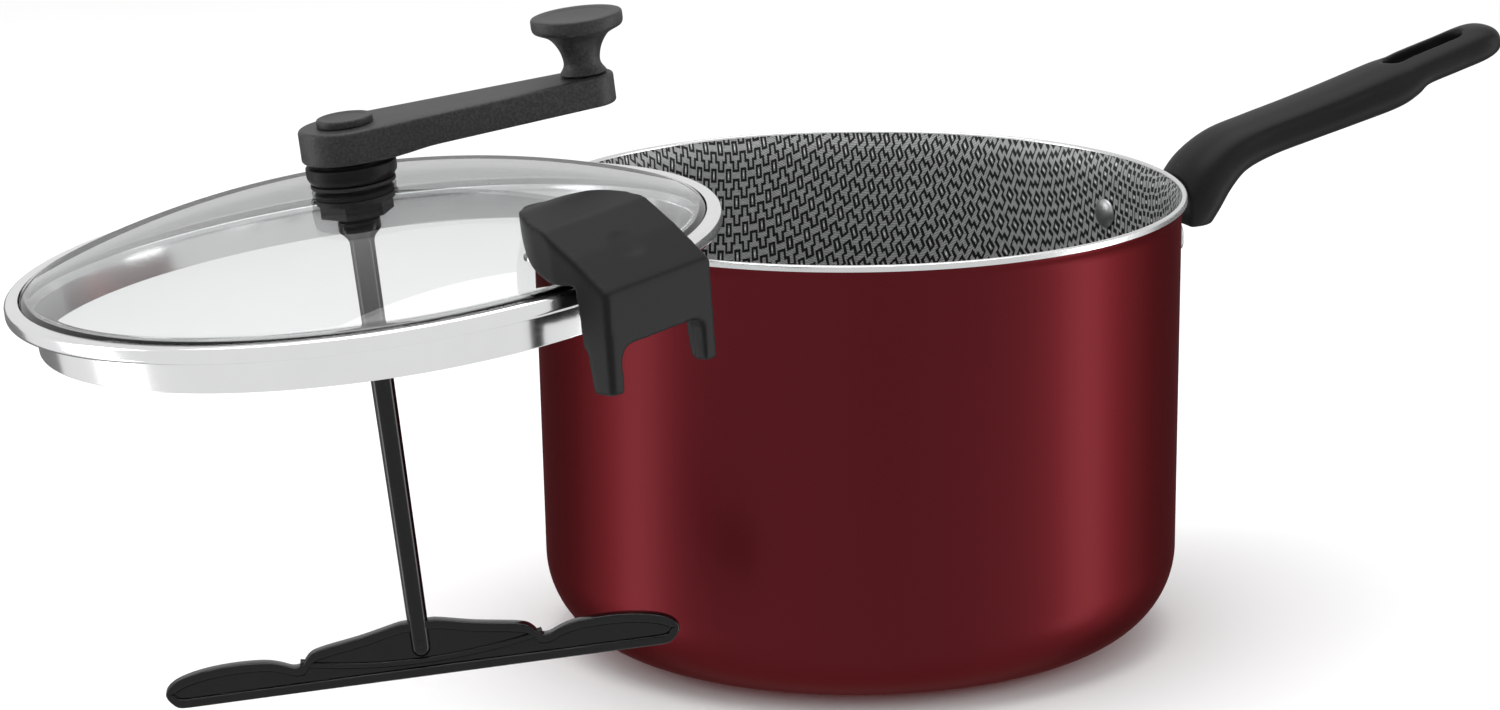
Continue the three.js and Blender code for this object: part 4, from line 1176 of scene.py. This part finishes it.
@dataclass
class StirrerBlade:
    """The paddle: a thin plate with a raised border, sunk panels and one curved rib on each face."""

    finishes: Finishes
    axis: Axis
    length: float = 153.0
    depth: float = 130.5
    lobe: float = 11.0
    web: float = 17.0
    notch_at: float = 37.0
    notch_drop: float = 3.2
    thickness: float = 4.4
    panel: float = 2.2
    border: float = 2.4
    edge: float = 0.7
    inset_gain: float = 1.15
    inset_limit: float = 0.98
    rib_half: float = 1.0
    rib_height: float = 0.85
    rib_steps: int = 60
    rib_around: int = 16
    easing: int = 3

    def build(self) -> None:
        """Builds the plate, whose raised border runs round a thinner web, and its two ribs."""
        ring = self.outline()
        centre = np.stack([ring[:, 0] * 0.985, np.full(len(ring), self.lobe * 0.45)], 1)
        reach = np.linalg.norm(ring - centre, axis=1)[:, None]
        toward = (centre - ring) / np.maximum(reach, 1e-6)
        half, web = self.thickness / 2, self.panel / 2
        quarter = np.linspace(0, math.pi / 2, 5)[::-1]
        insets = [*(self.edge * (1 - np.sin(quarter))), self.border - 0.5, self.border, self.border + 0.25]
        sides = [*(half - self.edge * (1 - np.cos(quarter))), half, half - 0.35, web]
        front = list(zip(insets, sides)) + [(float("inf"), web)]
        back = [(inset, -side) for inset, side in reversed(front)]
        rings = np.stack([self.ring_at(ring, toward, reach, inset, side) for inset, side in back + front])
        local = np.stack([rings[..., 0], rings[..., 2], rings[..., 1] - self.depth], -1)
        piece = build("stirrer_blade_moulding", loft(local[:, ::-1]), self.axis, [self.finishes.gloss], 50)
        mount(piece, "crank", "stirrer_plastic", "stirrer_blade")
        self.ribs(web)

    def ring_at(self, ring: np.ndarray, toward: np.ndarray, reach: np.ndarray, inset: float,
                side: float) -> np.ndarray:
        """The outline drawn in towards its centre line by an inset, at a distance to one side."""
        moved = ring + toward * np.minimum(inset * self.inset_gain, reach * self.inset_limit)
        return np.column_stack([moved, np.full(len(ring), side)])

    def outline(self) -> np.ndarray:
        """The closed outline: a flat foot, two round lobes, two notches and the web up to the rod."""
        end, lobe, web = self.length / 2, self.lobe, self.web
        notch = lobe - self.notch_drop
        lobe_side = spline([[end - 6, 0], [end - 2.6, 0.7], [end, lobe * 0.45], [end - 4.4, lobe * 0.8],
                            [end - 16, lobe], [self.notch_at + 9, lobe - 0.3], [self.notch_at + 0.8, notch]],
                           np.linspace(0, 1, 60))
        web_side = spline([[self.notch_at - 1.6, notch + 0.2], [self.notch_at - 4, lobe],
                           [self.notch_at - 8, lobe + 1.5], [17, web - 2.6], [7, web - 0.4], [4.4, web]],
                          np.linspace(0, 1, 40))
        half = np.concatenate([lobe_side, web_side])
        mirrored = half[::-1] * (-1, 1)
        foot = np.stack([np.linspace(-end + 6, end - 6, 60)[1:-1], np.zeros(58)], 1)
        ring = np.concatenate([foot, half, mirrored])
        for _ in range(self.easing):
            ring = ring / 2 + (np.roll(ring, 1, 0) + np.roll(ring, -1, 0)) / 4
        return ring

    def ribs(self, web: float) -> None:
        """Carries a half-round bead along a curve that hangs between the notches, one on each face."""
        t = np.linspace(-1, 1, self.rib_steps)
        x = t * (self.notch_at - 1)
        z = self.lobe * 0.78 - (1 - t ** 2) * self.lobe * 0.34 - self.depth
        slope = np.gradient(z, x)
        normal = np.stack([-slope, np.ones_like(slope)], 1) / np.sqrt(1 + slope ** 2)[:, None]
        angle = np.arange(self.rib_around) * FULL_TURN / self.rib_around
        off, out = self.rib_half * np.cos(angle), self.rib_height * np.sin(angle)
        for side, name in ((1, "blade_rib_front"), (-1, "blade_rib_back")):
            across = np.broadcast_to(side * web + out, (self.rib_steps, self.rib_around))
            rings = np.stack([x[:, None] + normal[:, :1] * off, across, z[:, None] + normal[:, 1:] * off], -1)
            piece = build(name, loft(rings), self.axis, [self.finishes.gloss])
            mount(piece, "crank", "stirrer_plastic")


@dataclass
class Knob:
    """The mushroom knob that turns on its pin."""

    finishes: Finishes
    axis: Axis
    neck: float = 5.3
    disc: float = 5.0
    bore: float = 3.3

    def build(self) -> None:
        """Revolves the knob: a waisted neck, bored for its pin, that flares into a flat round disc."""
        low, high, radius = self.axis.span("crank_knob")
        under = high - self.disc
        neck = spline([[self.neck + 1.6, low + 0.4], [self.neck + 0.1, low + 3.2],
                       [self.neck + 0.9, low + 7.4], [self.neck + 3.2, under - 1.6], [radius - 2.4, under]],
                      np.linspace(0, 1, 30))
        head = filleted([(radius - 2.3, under + 0.02), (radius - 0.4, under + 0.9, 1.0),
                         (radius, under + 2, 0.8), (radius, high, 0.9), (radius - 3, high, 0.8),
                         (radius - 4.4, high - 0.25, 1.0), (0, high - 0.45)], 0.5)
        foot = np.array([[0, under + 0.3], [self.bore, under + 0.3], [self.bore, low], [self.neck + 1.2, low],
                         [self.neck + 1.55, low + 0.2]])
        turned_piece("crank_knob_moulding", np.concatenate([foot, neck, head]), self.axis,
                     self.finishes.grained, Place("knob", "crank_plastic", "crank_knob"), closed=False)


# ---------------------------------------------------------------- studio


@dataclass
class Studio:
    """The pale floor, the dark card, the surround, the soft lights and the camera."""

    distance: float = 1600.0
    elevation: float = 13.746
    target: tuple = (-34.442, 0.0, 89.153)
    roll: float = -0.817
    handle_turn: float = -22.5
    lens: float = 120.958
    card_radius: float = 800.0
    card_low: float = -900.0
    card_high: float = 150.0
    card_arc: tuple = (25, 155)
    card_points: int = 40
    floor_half: float = 6.0
    floor_drop: float = 0.0003
    surround: float = 0.8

    def build(self) -> None:
        """Sets up everything round the object."""
        self.floor()
        self.dark_card()
        self.world()
        self.lights()
        self.camera()
        bpy.context.scene.view_settings.view_transform = "Standard"

    def turned(self, vector: Vector) -> Vector:
        """Turns a studio direction or point into the row frame."""
        return Matrix.Rotation(math.radians(self.handle_turn), 4, "Z") @ vector

    def sheet(self, name: str, points: list, faces: list, material: bpy.types.Material) -> bpy.types.Object:
        """An open sheet of the studio, in row-frame metres."""
        mesh = bpy.data.meshes.new(name)
        mesh.from_pydata(points, [], faces)
        mesh.materials.append(material)
        return linked(name, mesh)

    def floor(self) -> None:
        """A wide flat sheet just under the pan, which reflections and shadow rays don't see."""
        g = Graph("pale_floor")
        g.link(g.between(g.noise(3, 2), (0.86, 0.86, 0.86), (0.9, 0.9, 0.9)), g.shader.inputs["Base Color"])
        g.set(Roughness=0.9, Specular_IOR_Level=0.1)
        size, height = self.floor_half, -self.floor_drop
        corners = [(-size, -size, height), (size, -size, height), (size, size, height), (-size, size, height)]
        floor = self.sheet("floor", corners, [(0, 1, 2, 3)], g.material)
        floor.visible_glossy = floor.visible_shadow = False

    def dark_card(self) -> None:
        """A curved grey card behind the object that only reflections see; it darkens edges that turn away."""
        g = Graph("dark_card")
        g.link(g.between(g.noise(5, 2), (0.16, 0.16, 0.16), (0.2, 0.2, 0.2)), g.shader.inputs["Base Color"])
        g.set(Roughness=1.0, Specular_IOR_Level=0.0)
        count = self.card_points
        angle = np.radians(np.linspace(*self.card_arc, count))
        ring = np.stack([np.cos(angle), np.sin(angle)], 1) * self.card_radius
        rows = [np.column_stack([ring, np.full(count, z)]) for z in (self.card_low, self.card_high)]
        points = [tuple(self.turned(Vector(p) * MM)) for p in np.concatenate(rows)]
        faces = [(i, i + 1, count + 1 + i, count + i) for i in range(count - 1)]
        card = self.sheet("dark_card", points, faces, g.material)
        card.visible_camera = card.visible_diffuse = card.visible_transmission = card.visible_shadow = False

    def world(self) -> None:
        """A surround that is white to look at, through glass too, and a dim grey for everything it lights."""
        world = bpy.data.worlds.new("studio")
        bpy.context.scene.world = world
        world.use_nodes = True
        nodes, link = world.node_tree.nodes, world.node_tree.links.new
        background = nodes["Background"]
        path = nodes.new("ShaderNodeLightPath")
        seen = nodes.new("ShaderNodeMath")
        seen.operation = "MAXIMUM"
        link(path.outputs["Is Camera Ray"], seen.inputs[0])
        link(path.outputs["Is Transmission Ray"], seen.inputs[1])
        mix = nodes.new("ShaderNodeMix")
        mix.data_type = "RGBA"
        mix.inputs["A"].default_value = (self.surround, self.surround, self.surround, 1)
        mix.inputs["B"].default_value = (1, 1, 1, 1)
        link(seen.outputs[0], mix.inputs["Factor"])
        link(mix.outputs["Result"], background.inputs["Color"])

    def light(self, name: str, place: tuple, size: tuple, power: float) -> None:
        """An area light that faces the object, placed in studio millimetres."""
        data = bpy.data.lights.new(name, "AREA")
        data.shape = "RECTANGLE"
        data.size, data.size_y = size[0] * MM, size[1] * MM
        data.energy = power
        lamp = linked(name, data)
        lamp.location = self.turned(Vector(place) * MM)
        aim = self.turned(Vector((0, 0, min(place[2], 80))) * MM) - lamp.location
        lamp.rotation_euler = aim.to_track_quat("-Z", "Y").to_euler()

    def lights(self) -> None:
        """Two tall side boxes and a wide top box."""
        for name, side in (("left_box", -1300), ("right_box", 1300)):
            self.light(name, (side, -90, 0), (420, 1800), 7.5)
        self.light("top_box", (-100, 100, 1600), (1800, 1400), 18)

    def camera(self) -> None:
        """A long lens that looks slightly down at the object."""
        tilt, roll = math.radians(self.elevation), math.radians(self.roll)
        ahead = Vector((0, math.cos(tilt), -math.sin(tilt)))
        right = Vector((1, 0, 0))
        up = right.cross(ahead)
        right_rolled = right * math.cos(roll) + up * math.sin(roll)
        up_rolled = up * math.cos(roll) - right * math.sin(roll)
        place = self.turned((Vector(self.target) - ahead * self.distance) * MM)
        axes = [self.turned(v) for v in (right_rolled, up_rolled, -ahead)]
        data = bpy.data.cameras.new("camera")
        data.lens, data.sensor_width = self.lens, 36
        data.clip_start, data.clip_end = 0.05, 50
        camera = linked("camera", data)
        turn = Matrix(axes).transposed().to_4x4()
        camera.matrix_world = Matrix.Translation(place) @ turn
        bpy.context.scene.camera = camera


def joint(name: str) -> dict:
    """The frame's joint of that name."""
    return next(j for j in frame["joints"] if j["name"] == name)


def main() -> None:
    """Builds each sub-assembly in order."""
    logging.basicConfig(level=logging.INFO, format="%(name)s %(message)s")
    turn, spin = joint("crank_turn"), joint("knob_spin")
    hub, knob = np.array(turn["pos_m"]), np.array(spin["pos_m"])
    crank_axis = Axis.make(hub, turn["axis"], knob - hub)
    reach = knob - hub
    arm_length = np.linalg.norm(reach - crank_axis.along * (reach @ crank_axis.along)) / MM
    finishes = Finishes.make()
    Pan(finishes).build()
    Lid(finishes, crank_axis).build()
    Crank(finishes, crank_axis, arm_length).build()
    Knob(finishes, Axis.make(knob, spin["axis"], crank_axis.ahead)).build()
    repaint(finishes.polished, "handle_screw")
    Studio().build()


if __name__ == "__main__":
    main()
